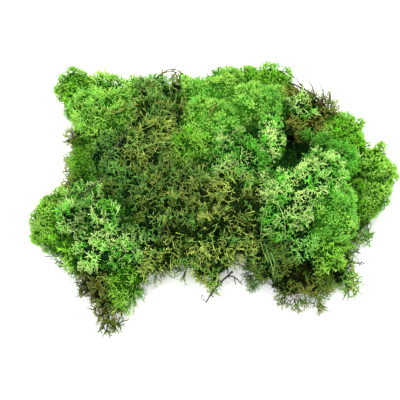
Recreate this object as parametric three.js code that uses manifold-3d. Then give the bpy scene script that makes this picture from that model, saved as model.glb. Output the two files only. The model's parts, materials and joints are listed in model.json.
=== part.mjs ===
// A clump of reindeer moss, the antler-branched cushion lichen that is sold dyed and preserved.
// Some four dozen tufts are matted together as they were gathered: domed cushions, open fans of
// strands and flat olive mats, with a few dead twigs and a flake of bark caught among them.
// Each tuft is one solid: a small rough heart, covered in forked branchlets that stand out of it.
// Millimetres, +Z up. The clump lies on z = 0 and its origin is under the middle of its outline.

import * as THREE from "three";
import { mergeVertices } from "three/addons/utils/BufferGeometryUtils.js";
import Module from "manifold-3d";

const wasm = await Module();
wasm.setup();

const UP = new THREE.Vector3(0, 0, 1);

// ---- Driving dimensions ----
const SEAM = 0.34; // air between two neighbouring tufts, and round a twig
const FORK = 6; // a branchlet's height, from the heart to its tips, on a tuft of full size
const FORK_SHARE = 0.4; // and its height at most, as a share of a smaller tuft's half-size
const FORK_AREA = 34; // faces of the heart smaller than this, in square mm, fork less often
const SPLIT_AREA = 64; // and faces larger than this carry three branchlets
const CROWNED = 0.16; // share of the branchlets that are crowns of three tips without a stalk
const ROOT_DEPTH = 1.6; // a tuft narrows downwards as if it closed this many head-heights down
const UNDERSIDE = -0.7; // faces of the heart that slope down more than this stay bare
const LOBE_SPREAD = 0.1; // how far round the head one lobe of a cushion reaches, as 1 - cos(angle)
const CROWDING = 0.3; // how far the faces of the heart crowd towards its top, where it is seen
const TURNS_TRIED = 60; // the heart that fills its cell best, of this many, is the one that is kept
const SMALL_TUFT = 7.5; // a tuft whose mean half-size is less than this has a coarser heart

// ---- How tufts press against each other ----
const SQUARELY = 0.64; // a tuft stretches to a neighbour that faces it at least this squarely,
const HUG = 1.9; // as far as this many times its own half-size,
const HUG_WIDTH = 0.98; // and within this many half-sizes of the line between the two;
const HUG_FROM = 0.15; // up to this slope above the level it stretches in full,
const HUG_TO = 0.7; // and from this slope on not at all, so the heads stay round on top
const PRESSED_SLOPE = 0.2; // between two tufts, faces steeper than this can't be seen and stay bare

// ---- The branchlets, in shares of the branchlet's height or of the face it stands on ----
const SPIKE_HEIGHT = 0.9;
const CROWN = { saddle: 0.22, spread: 0.5, overhang: 0.6 };
const COLLAR = { width: 0.4, height: 0.22, saddle: 0.3 };
const STEM = { width: 0.34, height: 0.55, saddle: 0.62 };
const PRONG_SPREAD = 0.42;
const LEAN = 0.75; // sideways share of a branchlet whose look lies flat
const HEIGHTS = [0.8, 1.2]; // the shortest and the longest, against the tuft's own height
const SHORTER = [1, 0.75, 0.5]; // what is tried in turn where the cell is tight,
const UPRIGHT = [0, 0.6, 1.6]; // each first as it leans, and then raised by this much

// ---- The twigs ----
const TWIG_SIDES = 5;
const TWIG_TAPER = 0.55; // the thin end, as a share of the thick end
const TWIG_KNOT = 0.12; // how far the knots on it stand out, as a share of its half-thickness
const STUB_LENGTH = 5;
const STUB = { thick: 0.6, thin: 0.35, along: 0.6, rise: 0.5 };

// ---- What each kind of tuft looks like ----
// lobes and swell: the rounded lobes of its head, and how far they stand out, as a share.
// lean: how far its branchlets lie over, from 0, upright, to 1, flat.
// forked and tall: the share that stands on a collar, and the share of those with a stem.
const LOOKS = {
  spring: { colour: 0x5fb52b, lobes: 15, swell: 0.14, lean: 0.15, forked: 0.24, tall: 0.2 },
  leaf: { colour: 0x4a9a2a, lobes: 13, swell: 0.14, lean: 0.2, forked: 0.24, tall: 0.25 },
  pale: { colour: 0x86bd4e, lobes: 12, swell: 0.12, lean: 0.3, forked: 0.28, tall: 0.4 },
  deep: { colour: 0x2c5a20, lobes: 9, swell: 0.1, lean: 0.5, forked: 0.28, tall: 0.4 },
  olive: { colour: 0x6b7a22, lobes: 8, swell: 0.1, lean: 0.75, forked: 0.32, tall: 0.5 },
  brown: { colour: 0x4d4a1c, lobes: 8, swell: 0.1, lean: 0.8, forked: 0.32, tall: 0.5 },
};
const BARK = { colour: 0x3b2a1e, roughness: 0.9 };
const MOSS_ROUGHNESS = 0.85;

// ---- The tufts ----
// Name, look, the middle of the head, and the head's half-sizes in X, Y and up.
const TUFTS = [
  ["back_left_knob", "leaf", [-81, 87, 26], [12, 11, 13]],
  ["back_left_ridge", "spring", [-57, 83, 27], [17, 11, 12]],
  ["upper_left_fan", "spring", [-60, 59, 33], [19, 15, 14]],
  ["left_brown_nub", "brown", [-78, 55, 20], [8, 7, 7]],
  ["left_cushion", "leaf", [-71, 38, 21], [12, 12, 12]],
  ["left_hollow_fan", "deep", [-54, 36, 27], [14, 14, 13]],
  ["left_olive_spray", "brown", [-79, 33, 13], [13, 9, 8]],
  ["front_left_cushion", "leaf", [-88, 0, 14], [16, 16, 14]],
  ["front_left_fan", "pale", [-70, -3, 23], [16, 17, 14]],
  ["lower_left_head", "leaf", [-78, -23, 11], [13, 12, 11]],
  ["lower_left_crown", "pale", [-64, -27, 18], [12, 13, 12]],
  ["yellow_fan", "pale", [-56, -12, 31], [10, 10, 9]],
  ["lower_fan", "pale", [-48, -27, 20], [14, 12, 12]],
  ["front_tail_dark", "brown", [-60, -52, 9], [9, 24, 10]],
  ["front_tail_bright", "leaf", [-47, -45, 10], [10, 18, 11]],
  ["upper_olive_mat", "olive", [-29, 56, 37], [18, 13, 11]],
  ["middle_olive_net", "olive", [-33, 32, 39], [18, 14, 12]],
  ["back_middle_mat", "deep", [-26, 79, 26], [18, 12, 12]],
  ["left_middle_dark", "deep", [-45, 13, 27], [16, 16, 13]],
  ["middle_hollow_dark", "deep", [-35, -11, 24], [10, 10, 10]],
  ["centre_green", "leaf", [-10, 27, 40], [13, 13, 12]],
  ["centre_olive_mat", "olive", [-17, -3, 37], [18, 17, 14]],
  ["centre_right_olive_mat", "olive", [12, -5, 36], [17, 16, 13]],
  ["front_olive_mat", "olive", [-12, -18, 18], [19, 14, 15]],
  ["front_right_olive_mat", "olive", [15, -23, 17], [15, 13, 14]],
  ["front_middle_fringe", "olive", [0, -35, 7], [9, 8, 7]],
  ["front_left_olive", "olive", [-36, -28, 12], [13, 11, 12]],
  ["back_bright_cushion", "spring", [4, 74, 35], [18, 18, 18]],
  ["upper_bright_cushion", "spring", [28, 60, 40], [18, 18, 18]],
  ["centre_bright_fan", "spring", [2, 46, 44], [13, 13, 13]],
  ["right_strand_fan", "pale", [34, 35, 41], [12, 17, 14]],
  ["centre_pale_fan", "pale", [14, 18, 43], [16, 15, 14]],
  ["back_right_lobes", "leaf", [32, 87, 31], [18, 12, 13]],
  ["right_brown_mat", "brown", [54, 60, 34], [16, 18, 15]],
  ["right_small_crown", "pale", [49, 55, 49], [8, 7, 7]],
  ["right_dark_hollow", "deep", [49, 34, 26], [13, 13, 12]],
  ["right_back_cushion", "leaf", [73, 49, 26], [15, 16, 15]],
  ["right_crest", "pale", [64, 26, 38], [13, 10, 11]],
  ["dome_left", "pale", [38, -4, 31], [18, 22, 20]],
  ["dome_top", "pale", [56, 6, 37], [19, 18, 21]],
  ["dome_right", "spring", [68, -8, 27], [15, 21, 21]],
  ["far_right_upper", "leaf", [92, 34, 20], [13, 13, 13]],
  ["far_right_lower", "leaf", [88, 11, 15], [12, 13, 12]],
  ["right_low_spray", "olive", [82, -10, 7], [10, 11, 7]],
  ["front_right_strands", "deep", [33, -30, 15], [13, 16, 15]],
  ["front_right_olive", "brown", [51, -44, 9], [16, 14, 10]],
  ["dome_foot_dark", "deep", [49, -21, 15], [11, 10, 12]],
  ["right_front_green", "leaf", [65, -28, 15], [13, 13, 13]],
  ["front_right_fringe", "olive", [73, -37, 6], [11, 12, 6]],
];

// ---- The dead twigs and the flake of bark ----
// Name, half-thickness, how flat it is as a share of that, and the points it runs through.
const TWIGS = [
  ["long_twig", 0.9, 1, [[-25, -17, 38], [-31, -25, 31], [-38, -33, 25], [-46, -40, 18]]],
  ["grey_twig", 1.3, 1, [[-61, 17, 35], [-65, 8, 34], [-71, -1, 33]]],
  ["upper_twig", 0.8, 1, [[-46, 45, 36], [-51, 36, 37], [-57, 28, 33]]],
  ["top_twig", 0.8, 1, [[-34, 78, 34], [-30, 84, 38], [-22, 87, 39], [-15, 82, 34]]],
  ["spiky_twig", 0.9, 1, [[66, 59, 40], [58, 66, 44], [49, 73, 44], [44, 78, 40]]],
  ["curled_stem", 0.8, 1, [[17, -8, 45], [22, -6, 47], [28, -9, 44]]],
  ["front_stick", 0.8, 1, [[12, -33, 8], [6, -39, 7], [1, -44, 4], [-3, -50, 2]]],
  ["bark_flake", 1.8, 0.45, [[4, 52, 52], [0, 45, 53], [-4, 38, 51]]],
];

// ---- Small helpers ----
function randomFrom(seed) {
  let state = Math.imul(seed, 0x9e3779b1);
  return () => {
    state = (state + 0x6d2b79f5) | 0;
    let mixed = Math.imul(state ^ (state >>> 15), 1 | state);
    mixed = (mixed + Math.imul(mixed ^ (mixed >>> 7), 61 | mixed)) ^ mixed;
    return ((mixed ^ (mixed >>> 14)) >>> 0) / 4294967296;
  };
}

const between = (random, low, high) => low + (high - low) * random();

function anyDirection(random) {
  const z = between(random, -1, 1);
  const turn = between(random, 0, 2 * Math.PI);
  const flat = Math.sqrt(1 - z * z);
  return new THREE.Vector3(flat * Math.cos(turn), flat * Math.sin(turn), z);
}

const crossOf = ([a, b, c]) => b.clone().sub(a).cross(c.clone().sub(a));
const normalOf = (base) => crossOf(base).normalize();
const areaOf = (base) => crossOf(base).length() / 2;
const middleOf = ([a, b, c]) => a.clone().add(b).add(c).divideScalar(3);

function solidFrom(triangles) {
  const loose = new THREE.BufferGeometry().setFromPoints(triangles.flat());
  const merged = mergeVertices(loose, 1e-4);
  return new wasm.Manifold(
    new wasm.Mesh({
      numProp: 3,
      vertProperties: merged.attributes.position.array,
      triVerts: new Uint32Array(merged.index.array),
    }),
  );
}

// ---- Heads, and the cells that keep one tuft out of the next ----
// How far a half-ellipsoid of these half-sizes reaches along a direction.
function reach(direction, [sizeX, sizeY, up], down) {
  const height = direction.z > 0 ? up : down;
  return 1 / Math.hypot(direction.x / sizeX, direction.y / sizeY, direction.z / height);
}

// The flat walls of a tuft's cell: one towards each other tuft, set where the two heads would meet.
function cellWalls(tuft, tufts) {
  const walls = [];
  for (const other of tufts) {
    if (other === tuft) continue;
    const towards = other.middle.clone().sub(tuft.middle);
    const apart = towards.length();
    towards.normalize();
    const mine = reach(towards, tuft.sizes, tuft.sizes[2]);
    const theirs = reach(towards.clone().negate(), other.sizes, other.sizes[2]);
    walls.push({ normal: towards, far: (apart * mine) / (mine + theirs) - SEAM / 2 });
  }
  walls.push({ normal: UP.clone().negate(), far: tuft.middle.z });
  return walls;
}

// How far along a direction the cell is open.
function roomAlong(direction, walls) {
  let room = Infinity;
  for (const { normal, far } of walls) {
    const facing = normal.dot(direction);
    if (facing > 1e-6) room = Math.min(room, far / facing);
  }
  return room;
}

// How far along a direction the tuft has to stretch to press against a neighbour, if it can: only
// where the wall faces the stretch, and only beside the line that joins the two heads.
function pressAlong(direction, walls, head) {
  const fade = THREE.MathUtils.mapLinear(direction.z, HUG_TO, HUG_FROM, 1, HUG);
  const hug = THREE.MathUtils.clamp(fade, 1, HUG);
  let press = Infinity;
  for (const { normal, far } of walls) {
    const facing = normal.dot(direction);
    if (facing < SQUARELY) continue;
    const stretch = far / facing;
    const sideways = stretch * Math.sqrt(1 - facing * facing);
    if (stretch < head * hug && sideways < head * HUG_WIDTH) press = Math.min(press, stretch);
  }
  return press;
}

const inCell = (offset, walls) => walls.every(({ normal, far }) => normal.dot(offset) <= far);

// ---- The heart of a tuft: a rough ball with lobes, pressed sideways against its neighbours ----
function ballOf(sizes) {
  const meanSize = Math.cbrt(sizes[0] * sizes[1] * sizes[2]);
  const ball = new THREE.IcosahedronGeometry(1, meanSize > SMALL_TUFT ? 1 : 0);
  ball.deleteAttribute("normal");
  ball.deleteAttribute("uv");
  return mergeVertices(ball);
}

// The heart with the ball turned one way. joined marks the corners that touch a wall of the cell.
function turnedHeart(tuft, ball, lobes, fork, walls) {
  const { look, random, sizes } = tuft;
  const spin = new THREE.Quaternion().setFromUnitVectors(UP, anyDirection(random));
  const corners = [];
  const joined = [];
  const place = new THREE.Vector3();
  for (let i = 0; i < ball.attributes.position.count; i++) {
    place.fromBufferAttribute(ball.attributes.position, i).applyQuaternion(spin);
    place.z += CROWDING;
    place.normalize();
    const nearest = Math.max(...lobes.map((lobe) => Math.exp((lobe.dot(place) - 1) / LOBE_SPREAD)));
    const swollen = 1 + look.swell * (2 * nearest - 1);
    const head = reach(place, sizes, ROOT_DEPTH * tuft.middle.z) * swollen;
    const pressed = pressAlong(place, walls, head);
    const wanted = pressed < Infinity ? pressed : head - fork;
    const room = roomAlong(place, walls);
    joined.push(room <= wanted);
    corners.push(place.clone().multiplyScalar(Math.max(1, Math.min(wanted, room))));
  }
  const index = ball.index.array;
  let volume = 0;
  for (let i = 0; i < index.length; i += 3) {
    const [a, b, c] = [corners[index[i]], corners[index[i + 1]], corners[index[i + 2]]];
    volume += a.dot(b.clone().cross(c));
  }
  return { corners, joined, volume };
}

// ---- A whole tuft ----
// Every open face of the heart is drawn out into a branchlet, so the skin of the tuft is all
// branchlets and the mesh stays one closed surface.
function growTuft(tuft, walls) {
  const { look, random, sizes } = tuft;
  const fork = Math.min(FORK, Math.min(...sizes) * FORK_SHARE);
  const lobes = Array.from({ length: look.lobes }, () => anyDirection(random));
  const ball = ballOf(sizes);
  const hearts = Array.from({ length: TURNS_TRIED }, () =>
    turnedHeart(tuft, ball, lobes, fork, walls),
  );
  const { corners, joined } = hearts.sort((one, two) => two.volume - one.volume)[0];

  const triangles = [];
  const cover = (base) => {
    const area = areaOf(base);
    if (area < SPLIT_AREA) {
      triangles.push(...(branchletOn(base, area, fork, tuft, walls) ?? [base]));
      return;
    }
    const [a, b, c] = base;
    const hub = middleOf(base);
    for (const third of [[a, b, hub], [b, c, hub], [c, a, hub]]) cover(third);
  };
  const index = ball.index.array;
  for (let i = 0; i < index.length; i += 3) {
    const trio = [index[i], index[i + 1], index[i + 2]];
    const base = trio.map((corner) => corners[corner]);
    const slope = normalOf(base).z;
    const shut = trio.every((corner) => joined[corner]);
    if (slope < UNDERSIDE || (shut && slope < PRESSED_SLOPE)) triangles.push(base);
    else cover(base);
  }
  return triangles;
}

// One face of the heart drawn out into a branchlet. Where the cell is tight it stands more upright,
// and then shorter, and where there is no room even for a short one there is none.
function branchletOn(base, area, fork, { look, random }, walls) {
  const aim = normalOf(base).addScaledVector(anyDirection(random), look.lean * LEAN);
  const chance = random() * Math.max(1, FORK_AREA / area);
  const crowned = chance < look.forked + CROWNED;
  const kind = chance < look.forked ? "stalk" : crowned ? "crown" : "spike";
  const tall = random() < look.tall;
  const length = fork * between(random, ...HEIGHTS);
  for (const share of SHORTER) {
    for (const raise of UPRIGHT) {
      const stand = aim.clone().addScaledVector(UP, raise).normalize();
      const { tips, sides } = drawnOut(base, stand, length * share, kind, tall);
      if (!tips.every(({ tip }) => inCell(tip, walls))) continue;
      for (const { from: [p, q, r], tip } of tips) sides.push([p, q, tip], [q, r, tip], [r, p, tip]);
      return sides;
    }
  }
  return null;
}

// A spike is one tip over the whole face. A crown is three tips round a saddle. A stalk narrows to a
// collar first, and a tall one carries its crown on a stem.
function drawnOut(base, aim, height, kind, tall) {
  const middle = middleOf(base);
  const sides = [];
  const raised = (rise) => middle.clone().addScaledVector(aim, height * rise);
  if (kind === "spike") return { sides, tips: [{ from: base, tip: raised(SPIKE_HEIGHT) }] };

  let rim = base;
  const narrowTo = ({ width, height: rise }) => {
    const next = base.map((corner) =>
      middle.clone().lerp(corner, width).addScaledVector(aim, height * rise),
    );
    rim.forEach((corner, i) => {
      const j = (i + 1) % 3;
      sides.push([corner, rim[j], next[j]], [corner, next[j], next[i]]);
    });
    rim = next;
  };
  let saddle = raised(CROWN.saddle);
  if (kind === "stalk") {
    narrowTo(COLLAR);
    if (tall) narrowTo(STEM);
    saddle = raised(tall ? STEM.saddle : COLLAR.saddle);
  }
  const tips = rim.map((corner, i) => {
    const next = rim[(i + 1) % 3];
    const outward = corner.clone().add(next).divideScalar(2).sub(saddle);
    outward.addScaledVector(aim, -outward.dot(aim)).normalize();
    const inside = middle.distanceTo(corner) * CROWN.overhang;
    const spread = kind === "crown" ? Math.min(height * CROWN.spread, inside) : height * PRONG_SPREAD;
    return { from: [corner, next, saddle], tip: raised(1).addScaledVector(outward, spread) };
  });
  return { sides, tips };
}

// ---- Twigs: crooked, tapering stems with a stub ----
function taperedStem(points, thick, thin, flat) {
  const curve = new THREE.CatmullRomCurve3(points);
  const steps = 2 * (points.length - 1);
  const frames = curve.computeFrenetFrames(steps, false);
  const rings = [];
  for (let i = 0; i <= steps; i++) {
    const knot = i % 2 ? thick * TWIG_KNOT : 0;
    const radius = THREE.MathUtils.lerp(thick, thin, i / steps) + knot;
    rings.push(
      Array.from({ length: TWIG_SIDES }, (_, k) => {
        const turn = (2 * Math.PI * k) / TWIG_SIDES;
        const off = frames.normals[i].clone().multiplyScalar(radius * Math.cos(turn));
        off.addScaledVector(frames.binormals[i], radius * Math.sin(turn));
        off.z *= flat;
        return off.add(curve.getPointAt(i / steps));
      }),
    );
  }
  const triangles = [];
  for (let i = 0; i < steps; i++) {
    for (let k = 0; k < TWIG_SIDES; k++) {
      const next = (k + 1) % TWIG_SIDES;
      const [a, b, c, d] = [rings[i][k], rings[i][next], rings[i + 1][next], rings[i + 1][k]];
      triangles.push([a, b, c], [a, c, d]);
    }
  }
  for (let k = 1; k < TWIG_SIDES - 1; k++) {
    triangles.push([rings[0][0], rings[0][k + 1], rings[0][k]]);
    triangles.push([rings[steps][0], rings[steps][k], rings[steps][k + 1]]);
  }
  return solidFrom(triangles);
}

function growTwig([, radius, flat, run], extra) {
  const points = run.map((point) => new THREE.Vector3(...point));
  const stem = taperedStem(points, radius + extra, radius * TWIG_TAPER + extra, flat);
  const [, from, to] = points;
  const along = to.clone().sub(from).normalize();
  const aside = new THREE.Vector3(-along.y, along.x, STUB.rise).normalize();
  const end = from
    .clone()
    .addScaledVector(along, STUB_LENGTH * STUB.along)
    .addScaledVector(aside, STUB_LENGTH);
  const [thick, thin] = [radius * STUB.thick + extra, radius * STUB.thin + extra];
  return stem.add(taperedStem([from, end], thick, thin, flat));
}

// ---- The clump ----
const tufts = TUFTS.map(([name, kind, middle, sizes], i) => ({
  name,
  look: LOOKS[kind],
  middle: new THREE.Vector3(...middle),
  sizes,
  random: randomFrom(i + 1),
}));

const twigs = TWIGS.map((row) => ({ name: row[0], solid: growTwig(row, 0) }));
const roomForTwigs = wasm.Manifold.union(TWIGS.map((row) => growTwig(row, SEAM)));

const solids = tufts.map((tuft) => {
  const grown = solidFrom(growTuft(tuft, cellWalls(tuft, tufts)));
  const cleared = grown.translate(tuft.middle.toArray()).subtract(roomForTwigs);
  const [largest] = cleared.decompose().sort((one, two) => two.volume() - one.volume());
  return { name: tuft.name, solid: largest, colour: tuft.look.colour, roughness: MOSS_ROUGHNESS };
});
for (const twig of twigs) solids.push({ ...twig, ...BARK });

// The origin goes under the middle of the outline, on the floor.
const box = new THREE.Box3();
for (const { solid } of solids) {
  const { min, max } = solid.boundingBox();
  box.expandByPoint(new THREE.Vector3(...min)).expandByPoint(new THREE.Vector3(...max));
}
const centre = box.getCenter(new THREE.Vector3());

const clump = new THREE.Group();
clump.position.set(-centre.x, -centre.y, -box.min.z);
for (const { name, solid, colour, roughness } of solids) {
  const { vertProperties, triVerts } = solid.getMesh();
  const geometry = new THREE.BufferGeometry();
  geometry.setAttribute("position", new THREE.BufferAttribute(vertProperties, 3));
  geometry.setIndex(new THREE.BufferAttribute(triVerts, 1));
  geometry.computeVertexNormals();
  const material = new THREE.MeshStandardMaterial({ color: colour, roughness, metalness: 0 });
  const mesh = new THREE.Mesh(geometry, material);
  mesh.name = name;
  clump.add(mesh);
}

export default clump;
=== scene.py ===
"""A clump of reindeer moss: tufts of forked, antler-like branchlets matted together, with a few
dead twigs and a flake of bark caught among them. It lies on a plain pale floor."""

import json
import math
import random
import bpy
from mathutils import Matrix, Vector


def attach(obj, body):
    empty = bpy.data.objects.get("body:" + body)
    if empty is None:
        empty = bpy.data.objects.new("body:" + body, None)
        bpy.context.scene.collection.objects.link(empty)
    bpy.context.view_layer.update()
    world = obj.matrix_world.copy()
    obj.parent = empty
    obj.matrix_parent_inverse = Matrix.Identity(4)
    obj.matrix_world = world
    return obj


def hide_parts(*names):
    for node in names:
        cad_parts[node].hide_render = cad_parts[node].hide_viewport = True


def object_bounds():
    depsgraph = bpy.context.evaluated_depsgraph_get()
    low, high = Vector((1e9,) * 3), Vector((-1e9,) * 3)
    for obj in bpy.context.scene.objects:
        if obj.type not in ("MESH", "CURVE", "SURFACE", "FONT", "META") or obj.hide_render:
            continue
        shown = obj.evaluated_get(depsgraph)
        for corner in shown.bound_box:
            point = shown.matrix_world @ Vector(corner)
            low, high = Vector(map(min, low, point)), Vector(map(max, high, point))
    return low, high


bl_info = {
    "name": "Reindeer Moss Clump",
    "version": (1, 0, 0),
    "blender": (4, 5, 0),
    "location": "View3D > Sidebar > Moss",
    "description": "Grows the tufts of a reindeer moss clump and lays it on a pale floor",
    "category": "Add Mesh",
}

import bmesh
import bpy
import numpy as np
from mathutils import Vector, noise
from mathutils.bvhtree import BVHTree

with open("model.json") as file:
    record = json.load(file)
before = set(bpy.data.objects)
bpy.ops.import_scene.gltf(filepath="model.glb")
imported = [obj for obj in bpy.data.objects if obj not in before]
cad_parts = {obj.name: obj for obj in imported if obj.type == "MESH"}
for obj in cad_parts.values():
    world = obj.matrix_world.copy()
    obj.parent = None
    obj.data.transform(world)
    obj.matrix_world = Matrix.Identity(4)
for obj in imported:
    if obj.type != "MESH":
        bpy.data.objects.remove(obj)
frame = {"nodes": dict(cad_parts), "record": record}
SOLID_BOX = [list(corner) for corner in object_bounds()]
noise.seed_set(3)  # so that noise_vector gives the same values in every run

MM = 0.001
UP = Vector((0, 0, 1))
SLOT_OF = {row["node"]: row["material_slot"] for row in frame["record"]["subparts"]}
MOSSES = ("spring_moss", "leaf_moss", "pale_moss", "deep_moss", "olive_moss", "brown_moss")

# ---- Which tufts grow in which habit ----
HABIT_OF_MOSS = {
    "spring_moss": "cushion",
    "leaf_moss": "cushion",
    "pale_moss": "net",
    "deep_moss": "net",
    "olive_moss": "mat",
    "brown_moss": "mat",
}
HABIT_OF_TUFT = {
    "left_olive_spray": "spray",
    "right_low_spray": "spray",
    "front_right_fringe": "spray",
    "front_middle_fringe": "spray",
    "front_tail_dark": "spray",
    "front_tail_bright": "mat",
    "front_right_olive": "net",
    "upper_left_fan": "net",
    "back_left_ridge": "net",
    "centre_green": "net",
    "lower_left_head": "net",
    "right_front_green": "net",
    "right_strand_fan": "cushion",
}
# How much brighter or duller a tuft is than its moss, and how much more of the second dye it has.
TONES = {
    "right_brown_mat": (0.3, 0),
    "right_small_crown": (0.6, -0.3),
    "back_left_ridge": (0.2, 0),
    "left_olive_spray": (0.8, -0.1),
    "left_brown_nub": (0.4, 0),
    "front_tail_dark": (-0.9, 0),
    "middle_hollow_dark": (0.6, 0),
    "front_left_fan": (-0.2, 0),
    "back_left_knob": (0.1, 0),
    "back_right_lobes": (0.4, 0.2),
    "right_back_cushion": (1.5, 0.4),
    "far_right_upper": (1.3, -0.2),
    "far_right_lower": (0.2, 0),
    "back_bright_cushion": (0.1, 0),
    "upper_bright_cushion": (0, 0.3),
    "upper_left_fan": (0.1, 0),
    "left_hollow_fan": (-0.5, 0),
    "left_cushion": (-0.4, 0),
    "lower_left_head": (0.7, 0),
    "lower_left_crown": (0.6, 0),
    "lower_fan": (0.2, 0),
    "yellow_fan": (0.2, 0),
    "upper_olive_mat": (-0.2, 0.2),
    "back_middle_mat": (0.5, 0),
    "left_middle_dark": (-0.4, 0),
    "centre_olive_mat": (-0.4, 0.1),
    "centre_right_olive_mat": (0.1, -0.2),
    "front_olive_mat": (0.4, 0),
    "front_right_olive_mat": (1.3, -0.1),
    "front_middle_fringe": (0.5, 0),
    "front_left_olive": (0.2, 0),
    "right_crest": (-0.2, 0.6),
    "dome_left": (0.1, 0),
    "dome_top": (0.6, 0.1),
    "dome_right": (0.1, 0.3),
    "right_low_spray": (0.2, 0.3),
    "right_strand_fan": (1, 0.3),
    "centre_pale_fan": (-0.1, 0.3),
    "front_right_strands": (-1, 0.1),
    "front_right_olive": (-0.3, 0.3),
    "dome_foot_dark": (1.7, -0.4),
    "right_front_green": (0.5, -0.3),
    "front_right_fringe": (1, 0.2),
}
# The tufts whose strands are all combed one way.
COMBED = {
    "front_tail_bright": Vector((-0.5, -1, -0.1)),
    "front_tail_dark": Vector((-0.2, -1, 0)),
    "left_olive_spray": Vector((-1, -0.2, 0)),
    "right_low_spray": Vector((1, -0.5, 0)),
    "front_right_fringe": Vector((0.8, -0.6, 0)),
    "front_right_olive_mat": Vector((1, -0.2, 0)),
    "middle_olive_net": Vector((1, -0.5, 0)),
}

# ---- Hollows between the tufts, sunk and darkened with painted shadow: the place, the radius and the depth, in millimetres ----
HOLLOWS = (
    ((41, 4, 43), 8, 13),
    ((47, 9, 45), 9, 15),
    ((53, 13, 42), 6, 8),
    ((20, -20, 45), 5.5, 11),
    ((20, -27, 43), 6, 12),
    ((19.5, -34, 40), 6, 12),
    ((20, -41, 31), 6, 10),
    ((22, -49, 24), 6, 9),
    ((28, -50, 18), 6, 8),
    ((22, 29, 46), 5.5, 9),
    ((7, 15, 53), 5.5, 8),
    ((-4, -2, 50), 7, 9),
    ((31, -41, 26), 4.5, 7),
    ((-74, 28, 28), 5, 6),
    ((-66, 15, 33), 6, 9),
    ((-51, -27, 36), 6, 11),
    ((-71, -33, 31), 5, 7),
    ((-18, 40, 42), 5.5, 7),
    ((-64, -56, 24), 5, 6),
    ((20, 14, 50), 6, 9),
    ((-73, -2, 29), 5, 7),
    ((-39, 2, 42), 5, 6),
    ((-35, -11, 45), 5, 7),
    ((-15, -45, 21), 6, 6),
    ((50, -2, 51), 6, 7),
)
# Patches of painted shade and painted light: the place and the radius, and what they add to the
# light, the tone and the share of the second dye there.
PAINTED_LIGHT_AND_DYE_PATCHES = (
    ((36, 1, 39), 8, -1.1, -0.3, 0),
    ((28, -10, 44), 7, -1, -0.3, 0),
    ((43, 12, 33), 10, -1.2, -0.3, 0),
    ((50, 17, 37), 8, -1, -0.3, 0),
    ((61, 15, 48), 9, -1.2, -0.6, 0),
    ((52, -5, 54), 6, -1.2, -0.5, 0),
    ((46, 2, 40), 7, -1.2, -0.4, 0),
    ((20, 14, 47), 7, -1, -0.2, 0),
    ((20, 21, 48), 8, -1.2, -0.4, 0),
    ((29, 7, 45), 9, 1.2, 1, 0),
    ((44, -19, 45), 9, 1, 0.9, -0.5),
    ((50, -18, 44), 10, 1, 0.9, -0.5),
    ((38, -13, 46), 8, 0.6, 0.5, 0),
    ((52, -33, 32), 9, 0.9, 0.7, 0),
    ((46, -39, 30), 9, 0.9, 0.7, 0),
    ((38, -43, 26), 8, 0.8, 0.6, 0),
    ((22, -3, 45), 7, 0.6, 0.5, 0),
    ((11, -18, 43), 8, 1, 1, 0),
    ((22, -36, 27), 7, 0.8, 0.6, 0),
    ((19, -33, 38), 9, -1.6, -0.6, 0),
    ((0, -32, 41), 7, -1, -0.4, 0),
    ((-8, -1, 43), 6, -1, -0.3, 0),
    ((-28, -28, 39), 8, 0.6, 0.6, 0),
    ((-68, -45, 23), 9, 1.1, 1, 0),
    ((-62, -49, 23), 8, 0.9, 0.8, 0),
    ((-58, -42, 28), 6, -1, -0.4, 0),
    ((-87, -33, 19), 10, 0.8, 0.8, 0),
    ((-80, -24, 30), 8, 0.8, 0.6, 0),
    ((-76, -10, 26), 9, 0.6, 0.4, 0),
    ((-75, -46, 23), 7, -1.1, -0.3, 0),
    ((-75, -32, 29), 6, -1.2, -0.4, 0),
    ((-50, -32, 32), 7, -1.1, -0.4, 0),
    ((-56, -29, 32), 6, 0.7, 0.6, 0),
    ((-56, -21, 36), 7, -1.1, -0.4, 0),
    ((-14, -47, 25), 8, -1.5, -0.5, 0),
    ((-57, 14, 32), 8, 0.5, 0.4, 0),
    ((-73, -2, 27), 6, -1, -0.3, 0),
    ((-42, 8, 42), 6, -1, -0.4, 0),
    ((84, 22, 29), 9, 0.8, 0.8, 0),
    ((80, 11, 18), 8, 0.7, 0.7, 0),
    ((76, -44, 10), 10, 0.6, 0.4, 0),
    ((73, -37, 30), 8, -1.1, -0.5, 0),
    ((90, -10, 14), 11, -0.3, -0.5, 0.5),
    ((35, 33, 47), 8, 0.6, 0.6, 0),
    ((40, 37, 50), 7, -1, -0.4, 0),
    ((16, 33, 49), 8, 0.6, 0.6, 0),
    ((-62, 50, 37), 9, 0.5, 0.5, 0),
    ((-17, 39, 44), 7, -1, -0.3, 0),
    ((-77, -54, 14), 9, -1.2, -0.5, 0),
    ((36, 29, 46), 7, 0.8, 0.8, 0),
    ((33, 16, 48), 12, 0.6, 0.6, 0),
    ((-84, -33, 18), 9, 1.2, 0.8, 0),
)
# How much larger or smaller than its solid a tuft is in all.
SWELL = {
    "right_small_crown": 0.82,
    "right_strand_fan": 0.95,
    "right_brown_mat": 1.06,
    "right_dark_hollow": 0.9,
}
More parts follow.
